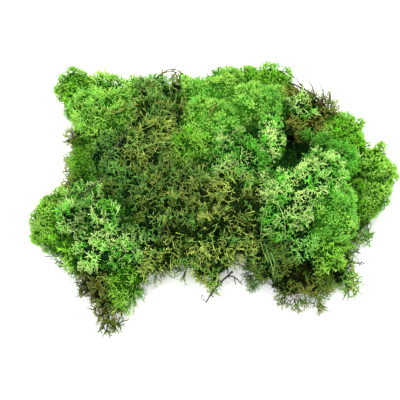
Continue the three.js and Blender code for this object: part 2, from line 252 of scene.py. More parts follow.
# Where the outline is drawn out or pressed in: the place, the radius and how far, and in some the
# only tuft that it moves.
PUSHES = (
    ((-83, 72, 36), 14, (0, 3, 4)),
    ((-62, 74, 36), 14, (0, 1, 1.5)),
    ((-42, 60, 32), 17, (0, 7, 8)),
    ((-24, 66, 36), 14, (0, 5, 5)),
    ((-6, 68, 44), 13, (3, -4, -5)),
    ((36, 74, 44), 14, (0, 3, 3)),
    ((76, 40, 34), 14, (2, 3, 2)),
    ((92, 22, 30), 9, (3, 3, 4)),
    ((100, 14, 18), 11, (3, 0, 0)),
    ((96, 0, 15), 11, (3, 0, 0)),
    ((95, -12, 5), 10, (-6, 4, 0)),
    ((-93, 60, 12), 17, (13, 3, 0)),
    ((-86, 31, 12), 12, (6, 0, 0)),
    ((-89, 16, 7), 12, (8, 0, 0)),
    ((-96, 2, 14), 12, (3, -4, -2)),
    ((-89, -52, 6), 15, (7, 5, 0)),
    ((-74, -72, 4), 14, (9, 0, 0)),
    ((-52, -74, 4), 12, (4, -5, 0)),
    ((14, -52, 9), 15, (0, 11, 2)),
    ((28, -62, 4), 12, (0, 7, 0)),
    ((50, -68, 4), 12, (0, 4, 0)),
    ((50, -40, 20), 15, (0, -7, 9)),
    ((82, -24, 24), 15, (-6, 3, 3)),
    ((68, -46, 12), 12, (-2, 5, -5)),
    ((-8, -36, 26), 16, (0, -4, 6)),
    ((45, 20, 42), 16, (-7, -2, -2), "right_strand_fan"),
    ((40, 6, 44), 14, (-5, -3, -2), "right_strand_fan"),
    ((52, 24, 44), 14, (0, 3, 0), "right_small_crown"),
    ((46, 22, 38), 18, (-4, -4, 5), "right_brown_mat"),
    ((62, 20, 38), 16, (-6, 4, -4), "right_crest"),
    ((28, -14, 48), 12, (-4, 0, 1), "dome_left"),
    ((28, -28, 40), 12, (-4, 0, 0), "dome_left"),
    ((24, -28, 43), 12, (-5, 0, -2), "centre_right_olive_mat"),
    ((-68, -80, 8), 14, (6, 0, 0)),
    ((-60, -80, 4), 12, (3, -4, 0)),
    ((44, -72, 4), 10, (0, -4, 0)),
    ((86, -26, 12), 10, (-3, 2, 0)),
    ((16, -52, 12), 12, (0, 6, 2)),
    ((-97, 62, 0), 14, (10, 0, 0)),
    ((-83, 43, 36), 10, (3, 2, 0), "upper_left_fan"),
    ((-91, 10, 14), 12, (0, 3, 5), "left_olive_spray"),
    ((-88, 2, 20), 10, (3, -4, 0), "front_left_cushion"),
    ((44, -42, 20), 14, (0, -4, 5), "dome_foot_dark"),
    ((-88, -30, 14), 12, (0, -4, 1), "front_left_cushion"),
    ((47, 60, 44), 12, (3, 1, 2), "back_right_lobes"),
    ((82, 26, 32), 12, (3, 1, 1), "right_back_cushion"),
    ((-89, 12, 16), 12, (10, 0, 0), "left_olive_spray"),
    ((-92, -40, 10), 12, (8, 5, 0)),
    ((14, -44, 8), 9, (4, 5, 2), "front_right_strands"),
    ((20, -52, 2), 8, (-1, -3, 0), "front_right_strands"),
    ((83, -44, 8), 14, (-7, 4, 0)),
    ((66, -58, 10), 12, (-3, 7, 2), "right_front_green"),
    ((87, 30, 30), 8, (-4, -5, -4), "right_back_cushion"),
    ((88, 27, 30), 7, (0, -5, -4), "far_right_upper"),
    ((86, 37, 32), 8, (3, 2, 2), "right_back_cushion"),
    ((-74, -66, 12), 10, (6, 3, 0), "front_tail_dark"),
    ((44, 72, 37), 10, (2, 1.5, 1), "back_right_lobes"),
    ((66, 44, 38), 12, (3, 3, 3), "right_brown_mat"),
    ((88, -20, 5), 9, (5, 0, 0), "right_low_spray"),
    ((34, -64, 6), 10, (-2, -5, 0), "front_right_olive"),
    ((55, -67, 4), 10, (0, -5, 0), "front_right_olive"),
    ((43, -1, 50), 13, (0, -3, -7), "dome_top"),
    ((32, -6, 45), 12, (0, -3, -5), "dome_left"),
    ((60, 6, 50), 10, (0, 1, 3), "dome_top"),
    ((58, 10, 47), 12, (0, -2, 5), "right_crest"),
    ((84, -34, 8), 13, (-8, 5, 0)),
    ((76, -50, 10), 12, (-5, 3, 0)),
    ((62, -64, 4), 12, (-2, 5, 0)),
    ((76, -38, 9), 10, (-4, 3, 0)),
    ((66, -54, 8), 9, (-3, 4, 0)),
    ((75, -63, 3), 9, (0, 4, 0)),
    ((46, 58, 46), 8, (0, -2, -3), "right_brown_mat"),
    ((66, 44, 38), 9, (0, -1, -1), "right_brown_mat"),
    ((88, 30, 26), 8, (0, -6, -3), "far_right_upper"),
    ((66, -53, 8), 10, (7, 2, 0), "front_right_fringe"),
    ((-90, 20, 6), 9, (6, 0, 0), "left_olive_spray"),
    ((-71, -60, 8), 9, (5, 2, 0), "front_tail_dark"),
    ((-48, -76, 8), 8, (-4, 2, 0), "front_tail_bright"),
    ((-90, 37, 24), 8, (4, 0, 0), "left_brown_nub"),
    ((-88, 27, 18), 9, (4, 0, 0), "left_cushion"),
    ((-95, 75, 4), 10, (5, 2, 0)),
    ((14, -42, 6), 9, (2, 8, 4), "front_right_olive_mat"),
    ((73, -44, 15), 8, (-3, 2, -2), "right_front_green"),
    ((83, 34, 32), 8, (2, 3, 2), "right_back_cushion"),
    ((54, -68, 3), 8, (0, -4, 0), "front_right_olive"),
)

# ---- How a branchlet forks, level by level ----
# Branches; length, as a share of the whole branchlet; angle from the branch below; where the first
# stands on that branch, as a share of its length; how far it bends; half-thickness, as a share.
PLANS = {
    "cushion": (
        (1, 0.38, 0.0, 1.0, 0.15, 1.0),
        (3, 0.34, 0.8, 0.85, 0.2, 0.95),
        (3, 0.28, 0.8, 0.85, 0.2, 0.9),
    ),
    "net": (
        (1, 0.32, 0.0, 1.0, 0.2, 1.0),
        (2, 0.28, 0.6, 0.7, 0.25, 0.95),
        (2, 0.22, 0.65, 0.8, 0.25, 0.85),
        (2, 0.18, 0.7, 0.85, 0.2, 0.8),
    ),
    "mat": (
        (1, 0.58, 0.0, 1.0, 0.3, 1.0),
        (2, 0.32, 0.6, 0.35, 0.3, 0.9),
        (2, 0.2, 0.8, 0.7, 0.3, 0.9),
    ),
    "spray": (
        (1, 0.36, 0.0, 1.0, 0.4, 1.15),
        (3, 0.26, 0.8, 0.45, 0.4, 1.0),
        (2, 0.22, 0.9, 0.6, 0.4, 0.9),
        (2, 0.16, 0.9, 0.8, 0.4, 0.8),
    ),
    "stray": (
        (1, 1.1, 0.0, 1.0, 0.2, 0.9),
        (3, 0.22, 0.7, 0.35, 0.4, 0.8),
    ),
    "undergrowth": (
        (1, 0.30, 0.0, 1.0, 0.4, 1.0),
        (3, 0.60, 1.0, 0.2, 0.5, 0.9),
    ),
}
JOINTS = {
    "cushion": (1, 1, 1),
    "net": (1, 1, 1, 1),
    "mat": (2, 1, 1),
    "spray": (2, 2, 1, 1),
    "stray": (4, 1),
    "undergrowth": (1, 1),
}
STRAYS_IN = ("net", "mat")  # the habits in which one branchlet in nine is a long stray
BRANCHLETS = 9  # differently forked branchlets of each habit
STEEP = 0.9  # a strand that rises more than this needs another direction as its side
CLUB = 0.65  # where a tip is thickest, as a share of its length
TAPER = 0.25  # how much thinner a branch is at its end
LENGTHS = (0.8, 1.2)  # the shortest and the longest branch, as shares of the usual one
ANGLES = (0.7, 1.3)  # the same for the angle at which it stands out
STEPS = (0.3, 1)  # where in its stretch of the branch below it stands
TWIST = 0.4  # how far it strays from its even turn round that branch


def from_hex(code):
    """A screen colour such as 7fd43a as linear red, green and blue."""
    values = [int(code[i : i + 2], 16) / 255 for i in (0, 2, 4)]
    return tuple(v / 12.92 if v < 0.04045 else ((v + 0.055) / 1.055) ** 2.4 for v in values)


# ---- Settings ----
def length(name, description, millimetres):
    """A setting that is a length."""
    return bpy.props.FloatProperty(
        name=name, description=description, default=millimetres * MM, min=0, unit="LENGTH"
    )


def share(name, description, default):
    """A setting from 0 to 1."""
    return bpy.props.FloatProperty(
        name=name, description=description, default=default, min=0, max=1, subtype="FACTOR"
    )


def dye(name, description, code):
    """A setting that is a colour."""
    return bpy.props.FloatVectorProperty(
        name=name, description=description, default=from_hex(code), min=0, max=1, subtype="COLOR"
    )


# The kind of each size, its name and what it says.
SIZES = {
    "spacing": (length, "Spacing", "Least distance between two branchlets"),
    "reach": (length, "Length", "Length of a branchlet"),
    "thick": (length, "Half-thickness", "Half the thickness of a branchlet's foot"),
    "upright": (share, "Upright", "How squarely a branchlet stands on its tuft"),
    "scatter": (share, "Scatter", "How far branchlets stray from each other's way"),
    "lobe": (length, "Lobe Width", "Width of the small lobes of a tuft"),
    "crease": (length, "Crease Depth", "Depth of the creases between lobes"),
    # The heart is a dark surface painted as the shade deep inside a tuft.
    "heart": (length, "Heart Depth", "Depth of the dark heart below the tips"),
    # Painted shade in the creases between lobes.
    "gloom": (share, "Gloom", "How dark the creases are"),
}


def sizes_of_growth(title, **defaults):
    """A property group with the sizes of one habit of growth; lengths are in millimetres."""
    properties = {}
    for key, default in defaults.items():
        kind, name, description = SIZES[key]
        properties[key] = kind(name, description, default)
    return type(title, (bpy.types.PropertyGroup,), {"__annotations__": properties})


CushionSizes = sizes_of_growth(
    "CushionSizes",
    spacing=2.0,
    reach=4.2,
    thick=0.27,
    upright=0.85,
    scatter=0.4,
    lobe=10.0,
    crease=2.4,
    heart=4.0,
    gloom=0.05,
)
NetSizes = sizes_of_growth(
    "NetSizes",
    spacing=2.1,
    reach=7.5,
    thick=0.3,
    upright=0.7,
    scatter=0.5,
    lobe=10.0,
    crease=3.4,
    heart=6.5,
    gloom=0.3,
)
MatSizes = sizes_of_growth(
    "MatSizes",
    spacing=1.65,
    reach=8.0,
    thick=0.25,
    upright=0.35,
    scatter=0.6,
    lobe=12.0,
    crease=3.4,
    heart=6.0,
    gloom=0.4,
)
SpraySizes = sizes_of_growth(
    "SpraySizes",
    spacing=3.0,
    reach=9.5,
    thick=0.4,
    upright=0.5,
    scatter=0.6,
    lobe=8.0,
    crease=3.0,
    heart=7.5,
    gloom=0.2,
)
UndergrowthSizes = sizes_of_growth(
    "UndergrowthSizes", spacing=2.1, reach=4.5, thick=0.3, scatter=0.6
)


# Each moss: painted shade for its depths, its stems, and tips of two dyes that grow side by side.
MOSS_DYES = {
    "spring_moss": ("265808", "509e18", "b4ea62", "84d452"),
    "leaf_moss": ("204a08", "509418", "a8de58", "80d030"),
    "pale_moss": ("08260a", "468e20", "c8f088", "78d846"),
    "deep_moss": ("051806", "1c581c", "8cd060", "a0b848"),
    "olive_moss": ("0a1a04", "4e741c", "b8cc60", "7cb854"),
    "brown_moss": ("0c1004", "48540c", "a8ac50", "74a43c"),
}
PARTS_OF_MOSS = {
    "depths": "Deep inside the moss",
    "stems": "Stems of the moss",
    "tips": "Tips of the moss in its first dye",
    "others": "Tips of the moss in its second dye",
}


def colours_of_clump():
    """A property group with the colours of all the mosses, the twigs, the leaf and the floor."""
    properties = {
        "bark_dark": dye("Dark Bark", "Darkest bark of the twigs", "0c0c07"),
        "bark_pale": dye("Pale Bark", "Palest bark of the twigs", "505240"),
        "leaf_dark": dye("Dark Leaf", "Darkest part of the dry leaf and the flake", "30360e"),
        "leaf_pale": dye("Pale Leaf", "Palest part of the dry leaf and the flake", "747e3a"),
        "floor": dye("Floor", "Colour of the floor", "fafafa"),
    }
    for moss, codes in MOSS_DYES.items():
        for (part, description), code in zip(PARTS_OF_MOSS.items(), codes):
            name = f"{moss}_{part}"
            properties[name] = dye(name.replace("_", " ").title(), description, code)
    return type("MossColours", (bpy.types.PropertyGroup,), {"__annotations__": properties})


MossColours = colours_of_clump()


class StageSizes(bpy.types.PropertyGroup):
    """Where the camera stands and how strong the lights are"""

    distance: length("Camera Distance", "From the camera to the middle of the clump", 750)
    elevation: bpy.props.FloatProperty(
        name="Camera Elevation",
        description="Angle at which the camera looks down",
        default=math.radians(52),
        subtype="ANGLE",
    )
    sky: bpy.props.FloatProperty(
        name="Sky", description="Strength of the light from all round", default=1.1, min=0
    )
    glow: bpy.props.FloatProperty(
        name="Floor Glow", description="Light that the floor gives", default=0.25, min=0
    )
    key: bpy.props.FloatProperty(
        name="Key Lamp", description="Power of the large lamp", default=14, min=0, unit="POWER"
    )


# ---- Branchlets ----
def note(mesh, **values):
    """Stores one number, or three, for each point of a mesh."""
    for label, numbers in values.items():
        single = len(numbers) == len(mesh.vertices)
        kind, field = ("FLOAT", "value") if single else ("FLOAT_VECTOR", "vector")
        mesh.attributes.new(label, kind, "POINT").data.foreach_set(field, numbers)


class StrandMesh:
    """Collects thin closed strands."""

    def __init__(self):
        self.points, self.faces, self.along, self.side = [], [], [], []

    def add(self, path, radii, alongs, sides=3, flat=1.0):
        """One strand along a path. Where its radius is nothing it comes to a point."""
        below = aside = None
        for i, (spot, radius, along) in enumerate(zip(path, radii, alongs)):
            first = len(self.points)
            ahead = (path[min(i + 1, len(path) - 1)] - path[max(i - 1, 0)]).normalized()
            if aside is None:
                aside = ahead.cross(UP) if abs(ahead.z) < STEEP else ahead.orthogonal()
            aside = (aside - ahead * aside.dot(ahead)).normalized()
            across = ahead.cross(aside) * flat
            count = sides if radius else 1
            for k in range(count):
                turn = 2 * math.pi * k / sides
                corner = aside * math.cos(turn) + across * math.sin(turn)
                self.points.append(spot + corner * radius)
                self.along.append(along)
                self.side.append(k / max(count - 1, 1) if radius else 0.5)
            ring = list(range(first, first + count))
            if below is None:
                if radius:
                    self.faces.append(ring[::-1])
            else:
                self.join(below, ring, sides)
            below = ring
        if len(below) > 1:
            self.faces.append(below)

    def join(self, below, ring, sides):
        """The faces between two rings, of which one may be a point."""
        for k in range(sides):
            j = (k + 1) % sides
            if len(ring) == 1:
                self.faces.append([below[k], below[j], ring[0]])
            elif len(below) == 1:
                self.faces.append([below[0], ring[j], ring[k]])
            else:
                self.faces.append([below[k], below[j], ring[j], ring[k]])

    def to_object(self, name):
        mesh = bpy.data.meshes.new(name)
        mesh.from_pydata(self.points, [], self.faces)
        note(mesh, along=self.along, side=self.side)
        return bpy.data.objects.new(name, mesh)


def any_direction(rng):
    """A direction with no preference, of length 1."""
    return Vector([rng.gauss(0, 1) for _ in range(3)]).normalized()


def grow_branch(strands, rng, habit, sizes, level, start, heading, along):
    """One branch that bends a little, with the next level's branches standing out of it."""
    plan, joints = PLANS[habit], JOINTS[habit][level]
    _, part, _, _, bend, width = plan[level]
    reach = sizes.reach * part * rng.uniform(*LENGTHS)
    path, alongs = [start], [along]
    for i in range(joints):
        heading = (heading + any_direction(rng) * bend).normalized()
        path.append(path[-1] + heading * reach / joints)
        alongs.append(min(1, along + part * (i + 1) / joints))
    thick = sizes.thick * width
    if level + 1 == len(plan):
        middle = path[0].lerp(path[1], CLUB)
        half = (alongs[0] + alongs[1]) / 2
        strands.add([path[0], middle, path[1]], [0, thick, 0], [alongs[0], half, 1])
        return
    radii = [thick * (1 - TAPER * i / joints) for i in range(joints + 1)]
    strands.add(path, radii, alongs)
    branches, _, spread, first, _, _ = plan[level + 1]
    turn = rng.uniform(0, 2 * math.pi)
    for k in range(branches):
        turn += 2 * math.pi / branches + rng.uniform(-TWIST, TWIST)
        place = first + (1 - first) * (k + rng.uniform(*STEPS)) / branches
        i = min(int(place * joints), joints - 1)
        step = place * joints - i
        foot = path[i].lerp(path[i + 1], step)
        aside = heading.orthogonal().normalized()
        outward = aside * math.cos(turn) + heading.cross(aside) * math.sin(turn)
        angle = spread * rng.uniform(*ANGLES)
        arm = heading * math.cos(angle) + outward * math.sin(angle)
        reached = alongs[i] + (alongs[i + 1] - alongs[i]) * step
        grow_branch(strands, rng, habit, sizes, level + 1, foot, arm, reached)


def branchlets_of(habit, sizes):
    """A collection of differently forked branchlets, each growing up from the origin."""
    kinds = bpy.data.collections.new(habit + " branchlets")
    rng = random.Random(habit)
    for i in range(BRANCHLETS):
        strands = StrandMesh()
        plan = "stray" if i == 0 and habit in STRAYS_IN else habit
        grow_branch(strands, rng, plan, sizes, 0, Vector((0, 0, 0)), UP, 0.0)
        kinds.objects.link(strands.to_object(f"{habit} branchlet {i}"))
    return kinds


# ---- Heads: the outline of each tuft, from its solid ----
def ball_mesh(subdivisions):
    """Unit directions and triangles of an even ball."""
    shape = bmesh.new()
    bmesh.ops.create_icosphere(shape, subdivisions=subdivisions, radius=1)
    directions = np.array([vertex.co.normalized() for vertex in shape.verts])
    triangles = [tuple(vertex.index for vertex in face.verts) for face in shape.faces]
    shape.free()
    return directions, triangles


class Head:
    """The rounded outline that the tips of one tuft reach, as a distance along each direction."""

    SOFTNESS = 0.03  # how far round it a corner of the solid is felt
    FAR_CORNERS = 6  # a power: higher, and the corners that stand out count for more
    NEARBY = 1.5  # a neighbour's reach, as a share of its farthest corner
    MOST_MELT = 2.2

    def __init__(self, name):
        node = frame["nodes"][name]
        corners = np.empty(len(node.data.vertices) * 3)
        node.data.vertices.foreach_get("co", corners)
        corners = np.unique(corners.reshape(-1, 3).round(6), axis=0)
        self.name = name
        self.centre = (corners.min(0) + corners.max(0)) / 2
        offsets = corners - self.centre
        self.reach = np.linalg.norm(offsets, axis=1)
        self.ways = offsets / self.reach[:, None]
        self.reach *= SWELL.get(name, 1)

    def distances(self, directions):
        """How far the outline is from the centre along each direction."""
        weight = np.exp((directions @ self.ways.T - 1) / self.SOFTNESS)
        power = self.FAR_CORNERS
        return (weight @ self.reach**power / weight.sum(1)) ** (1 / power)

    def melted(self, directions, heads, melt):
        """The distances, a little farther where a neighbour's surface runs close by. A higher
        number leaves a sharper seam."""
        distances = self.distances(directions)
        points = self.centre + directions * distances[:, None]
        weight = np.ones(len(points))
        for other in heads:
            far = np.linalg.norm(points - other.centre, axis=1)
            near = far < self.NEARBY * other.reach.max()
            if other is self or not near.any():
                continue
            edge = other.distances((points[near] - other.centre) / far[near, None])
            weight[near] += np.exp(-melt * np.clip(far[near] / edge - 1, 0, None))
        return distances * (1 + np.log(np.minimum(weight, self.MOST_MELT)) / melt)


LOWEST = 0.2 * MM  # how near the floor a tuft's surface comes
SHADOWED = 1.6  # how much wider the shadow is than the hollow that casts it


def falloff(points, place, radius):
    """From 1 at the place to 0 at the radius, for each point."""
    far = np.linalg.norm(points - np.array(place) * MM, axis=1) / (radius * MM)
    return np.clip(1 - far**2, 0, None) ** 2


def shaped(points, name):
    """Draws the edge out or presses it in, sinks the hollows, and keeps all of it off the floor."""
    points = points.copy()
    for place, radius, push, *only in PUSHES:
        if not only or name in only:
            points += falloff(points, place, radius)[:, None] * np.array(push) * MM
    for place, radius, depth in HOLLOWS:
        points[:, 2] -= falloff(points, place, radius) * depth * MM
    points[:, 2] = np.maximum(points[:, 2], LOWEST)
    return points


def shadow(points):
    """How much painted shadow from the hollows each point gets, from 0 to 1."""
    depths = [falloff(points, place, radius) for place, radius, _ in HOLLOWS]
    return np.minimum(1, SHADOWED * np.max(depths, axis=0))


def painted_light_and_dye(points):
    """What the patches of painted light and shade add to light, tone and share of second dye."""
    return sum(falloff(points, place, radius)[:, None] * more for place, radius, *more in PAINTED_LIGHT_AND_DYE_PATCHES)


GOLDEN_ANGLE = 2.4
LOOKS, LOWEST_LOOK, HIGHEST_LOOK = 22, -0.3, 0.98
OUTLOOKS = [
    Vector((math.cos(GOLDEN_ANGLE * i) * flat, math.sin(GOLDEN_ANGLE * i) * flat, z))
    for i, z, flat in (
        (i, z, math.sqrt(1 - z * z))
        for i, z in enumerate(np.linspace(LOWEST_LOOK, HIGHEST_LOOK, LOOKS))
    )
]
SIGHT = 70 * MM
CLEAR = 1.2 * MM  # from a surface to where the look-out starts
TIP_CLEAR, TIP_SHARE = 4.5 * MM, 0.5  # the same for a tip that stands out of a neighbour's edge
GRAZING = 0.05  # a way that rises less than this from the surface isn't looked along
FEWEST_WAYS = 4


def openness(point, normal, shells, clear=CLEAR):
    """The share of the directions round a point in which nothing stands in the way."""
    ways = [way for way in OUTLOOKS if way.dot(normal) > GRAZING]
    start = point + normal * clear
    free = sum(shells.ray_cast(start, way, SIGHT)[0] is None for way in ways)
    return free / max(len(ways), FEWEST_WAYS)


def all_in_one(surfaces, triangles):
    """Many closed surfaces as one tree, to find what hides what."""
    points, faces = [], []
    for surface in surfaces:
        faces += [tuple(len(points) + i for i in face) for face in triangles]
        points += [Vector(p) for p in surface]
    return BVHTree.FromPolygons(points, faces)


WITHIN = 0.97  # what hides a tuft's neighbours is this much smaller than the tuft
OUTWARD = 0.7  # how much the way from the centre counts beside the surface's own normal
NEVER_ZERO = 1e-12


def edge_of(head, directions):
    """The surface of a tuft that hides its neighbours."""
    outline = head.centre + directions * head.distances(directions)[:, None] * WITHIN
    return shaped(outline, head.name)


def ways_out(points, directions, triangles):
    """The way off a surface at each point: between its normal and the way from its centre."""
    corners = np.array(triangles)
    one, two, three = (points[corners[:, k]] for k in range(3))
    across = np.cross(two - one, three - one)
    normals = np.zeros_like(points)
    for k in range(3):
        np.add.at(normals, corners[:, k], across)
    normals /= np.linalg.norm(normals, axis=1)[:, None] + NEVER_ZERO
    ways = normals + OUTWARD * directions
    return ways / (np.linalg.norm(ways, axis=1)[:, None] + NEVER_ZERO)


TIPS_MELT, HEART_MELT = 24.0, 9.0  # how sharp the seams are between tips and between hearts
# How dark the painted shadow is where a hollow is deepest.
HOLLOW_SHADE = 0.92
FULLY_HIDDEN = 0.01  # where no more than this is open, nothing grows
DIMMEST = 0.02  # how open the darkest branchlets count as
LEAST_SHOWN = 0.1  # how open undergrowth in a seam counts as, before it is shadowed
THINNED = 0.45  # how much of the undergrowth is left where branchlets stand over it
DYE_PATCH, TONE_PATCH, FLOW_PATCH = 14 * MM, 9 * MM, 13 * MM
DYE_SHIFT, TONE_SHIFT = Vector((1, 5, 9)), Vector((7, 3, 1))  # so that the patches don't match
SWEEP_PATCH = 45 * MM  # how far off the branchlets of another tuft lean another way
ALL_LEAN = Vector((0, -0.3, 0.1))
BY_SWEEP = 0.6
COMBED_STRAY = 0.5  # how far combed strands still stray
CREASE_WIDTH = 0.7  # as a share of a lobe
# The middle tone, how much it varies at random, and painted light and shade: brighter where open,
# darker in the creases.
MIDDLE_TONE, TONE_VARIES, TONE_BY_LIGHT, CREASE_SHADE_TONE = 0.3, 0.4, 0.6, 0.3
MIDDLE_DYE, DYE_VARIES = 0.4, 0.7


def head_object(head, sizes, ball, heads, shells):
    """The lobed surface that a tuft's branchlets stand on, with what they need to know there."""
    directions, triangles = ball
    distances = head.melted(directions, heads, TIPS_MELT)
    outline = shaped(head.centre + directions * distances[:, None], head.name)
    crease = np.array([noise.voronoi(Vector(p) / sizes.lobe)[0][0] for p in outline])
    crease = np.minimum(1, (crease / CREASE_WIDTH) ** 2)
    lobed = head.centre + directions * (distances - crease * sizes.crease)[:, None]
    # Painted shadow in the hollows, found before the hollows are sunk.
    depths = 1 - HOLLOW_SHADE * shadow(lobed)
    lobed = shaped(lobed, head.name)
    patches = painted_light_and_dye(lobed)
    mesh = bpy.data.meshes.new(head.name + " head")
    mesh.from_pydata([Vector(p) for p in lobed], [], triangles)
    mesh.update()
    combed = COMBED.get(head.name)
    brighter, other = TONES.get(head.name, (0, 0))
    sweep = noise.noise_vector(Vector(head.centre) / SWEEP_PATCH) + ALL_LEAN
    off = ways_out(outline, directions, triangles)
    openings, tones, dyes, grow = [], [], [], []
    for i, vertex in enumerate(mesh.vertices):
        normal, spot = Vector(directions[i]), Vector(outline[i])
        out = Vector(off[i])
        free = openness(spot, out, shells)
        if not free:
            free = TIP_SHARE * openness(spot, out, shells, TIP_CLEAR)
        # Painted shade: a place in a hollow or a crease counts as less open, so its branchlets are
        # painted darker.
        free *= depths[i] * (1 - sizes.gloom * crease[i])
        # The patches' painted light and shade, and their share of the second dye.
        light, tone, other_dye = patches[i]
        openings.append(max(DIMMEST, free + light) if free > FULLY_HIDDEN else free)
        stray = noise.noise_vector(spot / FLOW_PATCH) + sweep * BY_SWEEP
        if combed:
            stray = combed + stray * COMBED_STRAY
        flow = (stray - normal * stray.dot(normal)).normalized()
        stand = (vertex.normal + normal).normalized()
        grow += list((stand * sizes.upright + flow * (1 - sizes.upright)).normalized())
        patch = TONE_VARIES * noise.noise(spot / TONE_PATCH + TONE_SHIFT)
        # Painted light and shade in the tone: brighter where the sky is open, darker in the
        # creases.
        lit = TONE_BY_LIGHT * min(1, free) - CREASE_SHADE_TONE * crease[i]
        tones.append(MIDDLE_TONE + brighter + patch + lit + tone)
        grain = DYE_VARIES * noise.noise(spot / DYE_PATCH + DYE_SHIFT)
        dyes.append(MIDDLE_DYE + other + grain + other_dye)
    note(mesh, open=openings, tone=tones, dye=dyes, grow=grow)
    return bpy.data.objects.new(mesh.name, mesh)


# How open a heart's point is where the heart starts to lie deeper, over how much more it comes to
# its full depth, and the least depth and the least size of a heart, as shares.
DEEPER_FROM, DEEPER_OVER = 0.02, 0.2
LEAST_DEPTH, LEAST_HEART = 0.2, 0.2


def heart_shape(head, sizes, ball, heads, shells):
    """The surface of a tuft's heart, painted dark as the shade under its branchlets, how open the
    sky is over each of its points, and how much undergrowth it keeps there. It closes up to its
    neighbours."""
    directions, triangles = ball
    distances = head.melted(directions, heads, HEART_MELT)
    outer = head.centre + directions * distances[:, None]
    points = shaped(outer, head.name)
    off = ways_out(points, directions, triangles)
    bare = np.array([openness(Vector(p), Vector(way), shells) for p, way in zip(points, off)])
    crowd = np.where(bare > FULLY_HIDDEN, THINNED, 1)
    depth = sizes.heart * np.clip((bare - DEEPER_FROM) / DEEPER_OVER, LEAST_DEPTH, 1)
    shrunk = np.maximum(distances - depth, distances * LEAST_HEART)
    points = shaped(head.centre + directions * shrunk[:, None], head.name)
    # Undergrowth in a hollow is painted darker, as shadow, and the patches add their painted shade
    # and light.
    bare = np.maximum(bare, LEAST_SHOWN) * (1 - HOLLOW_SHADE * shadow(outer))
    return points, bare + painted_light_and_dye(points)[:, 0], crowd


def core_object(head, ball, hearts, cores):
    """The heart of a tuft, a dark surface painted as the shade deep inside it. Undergrowth stands
    wherever no other heart covers it.
    """
    directions, triangles = ball
    points, bare, crowd = hearts[head.name]
    off = ways_out(points, directions, triangles)
    shown = [openness(Vector(p), Vector(way), cores) > 0 for p, way in zip(points, off)]
    bare = np.where(shown, np.maximum(bare, DIMMEST), 0)
    mesh = bpy.data.meshes.new(head.name + " heart")
    mesh.from_pydata([Vector(p) for p in points], [], triangles)
    note(mesh, open=bare, crowd=crowd)
    return bpy.data.objects.new(mesh.name, mesh)


# ---- Nodes ----
class Value:
    """A socket of a shader or of a Geometry Nodes tree, for use in sums."""

    def __init__(self, nodes, socket):
        self.nodes, self.socket = nodes, socket

    def maths(self, operation, *values):
        return self.nodes.value("ShaderNodeMath", {"operation": operation}, *values)

    def __add__(self, other):
        return self.maths("ADD", self, other)

    def __sub__(self, other):
        return self.maths("SUBTRACT", self, other)

    def __rsub__(self, other):
        return self.maths("SUBTRACT", other, self)

    def __mul__(self, other):
        return self.maths("MULTIPLY", self, other)

    def __rtruediv__(self, other):
        return self.maths("DIVIDE", other, self)

    def __gt__(self, other):
        return self.maths("GREATER_THAN", self, other)

    def __lt__(self, other):
        return self.maths("LESS_THAN", self, other)

    def at_least(self, other):
        return self.maths("MAXIMUM", self, other)

    def at_most(self, other):
        return self.maths("MINIMUM", self, other)

    def fraction(self):
        return self.maths("FRACT", self)

    __radd__ = __add__
    __rmul__ = __mul__


class Nodes:
    """Adds nodes to a shader or to a Geometry Nodes tree."""

    def __init__(self, group):
        self.group = group

    def put(self, socket, value):
        """Links a value to a socket, or sets the socket to a number."""
        if isinstance(value, Value):
            self.group.links.new(value.socket, socket)
        else:
            socket.default_value = value

    def node(self, kind, settings=None, *values, **named):
        """A new node, with what goes into its sockets, in their order or by their names."""
        node = self.group.nodes.new(kind)
        settings = dict(settings or {})
        stops = settings.pop("stops", ())
        for key, value in settings.items():
            setattr(node, key, value)
        for i, (where, colour) in enumerate(stops):
            elements = node.color_ramp.elements
            stop = elements[i] if i < 2 else elements.new(where)
            stop.position, stop.color = where, (*colour, 1)
        for socket, value in zip(node.inputs, values):
            self.put(socket, value)
        for key, value in named.items():
            label = key.replace("_", " ").lower()
            self.put(next(s for s in node.inputs if s.enabled and s.name.lower() == label), value)
        return node

    def outputs(self, kind, settings=None, *values, **named):
        """All the outputs of a new node."""
        node = self.node(kind, settings, *values, **named)
        return [Value(self, socket) for socket in node.outputs]

    def value(self, kind, settings=None, *values, **named):
        """The output that a new node's settings leave it."""
        outputs = self.outputs(kind, settings, *values, **named)
        return next(value for value in outputs if value.socket.enabled)


# ---- Geometry Nodes ----
class Tree(Nodes):
    """A Geometry Nodes tree with named inputs."""

    def __init__(self, name, inputs):
        super().__init__(bpy.data.node_groups.new(name, "GeometryNodeTree"))
        face = self.group.interface
        face.new_socket("Geometry", in_out="OUTPUT", socket_type="NodeSocketGeometry")
        for label, kind, default in inputs:
            socket = face.new_socket(label, in_out="INPUT", socket_type="NodeSocket" + kind)
            if default is not None:
                socket.default_value = default
        given = self.group.nodes.new("NodeGroupInput")
        self.given = {socket.name: Value(self, socket) for socket in given.outputs}

    def scaled(self, vector, factor):
        """A vector times a number."""
        return self.value(
            "ShaderNodeVectorMath", {"operation": "SCALE"}, Vector=vector, Scale=factor
        )

    def read(self, name, kind="FLOAT"):
        """What is stored under a name."""
        return self.value("GeometryNodeInputNamedAttribute", {"data_type": kind}, Name=name)

    def chance(self, low, high, seed, kind="FLOAT"):
        """A random number between two others."""
        return self.value(
            "FunctionNodeRandomValue", {"data_type": kind}, Min=low, Max=high, Seed=seed
        )

    def place(self):
        """The x, the y and the z of each point."""
        return self.outputs(
            "ShaderNodeSeparateXYZ", None, self.value("GeometryNodeInputPosition")
        )

    def store(self, geometry, name, value, kind="FLOAT", domain="POINT"):
        """The geometry, with a value stored under a name."""
        return self.value(
            "GeometryNodeStoreNamedAttribute",
            {"data_type": kind, "domain": domain},
            Geometry=geometry,
            Name=name,
            Value=value,
        )


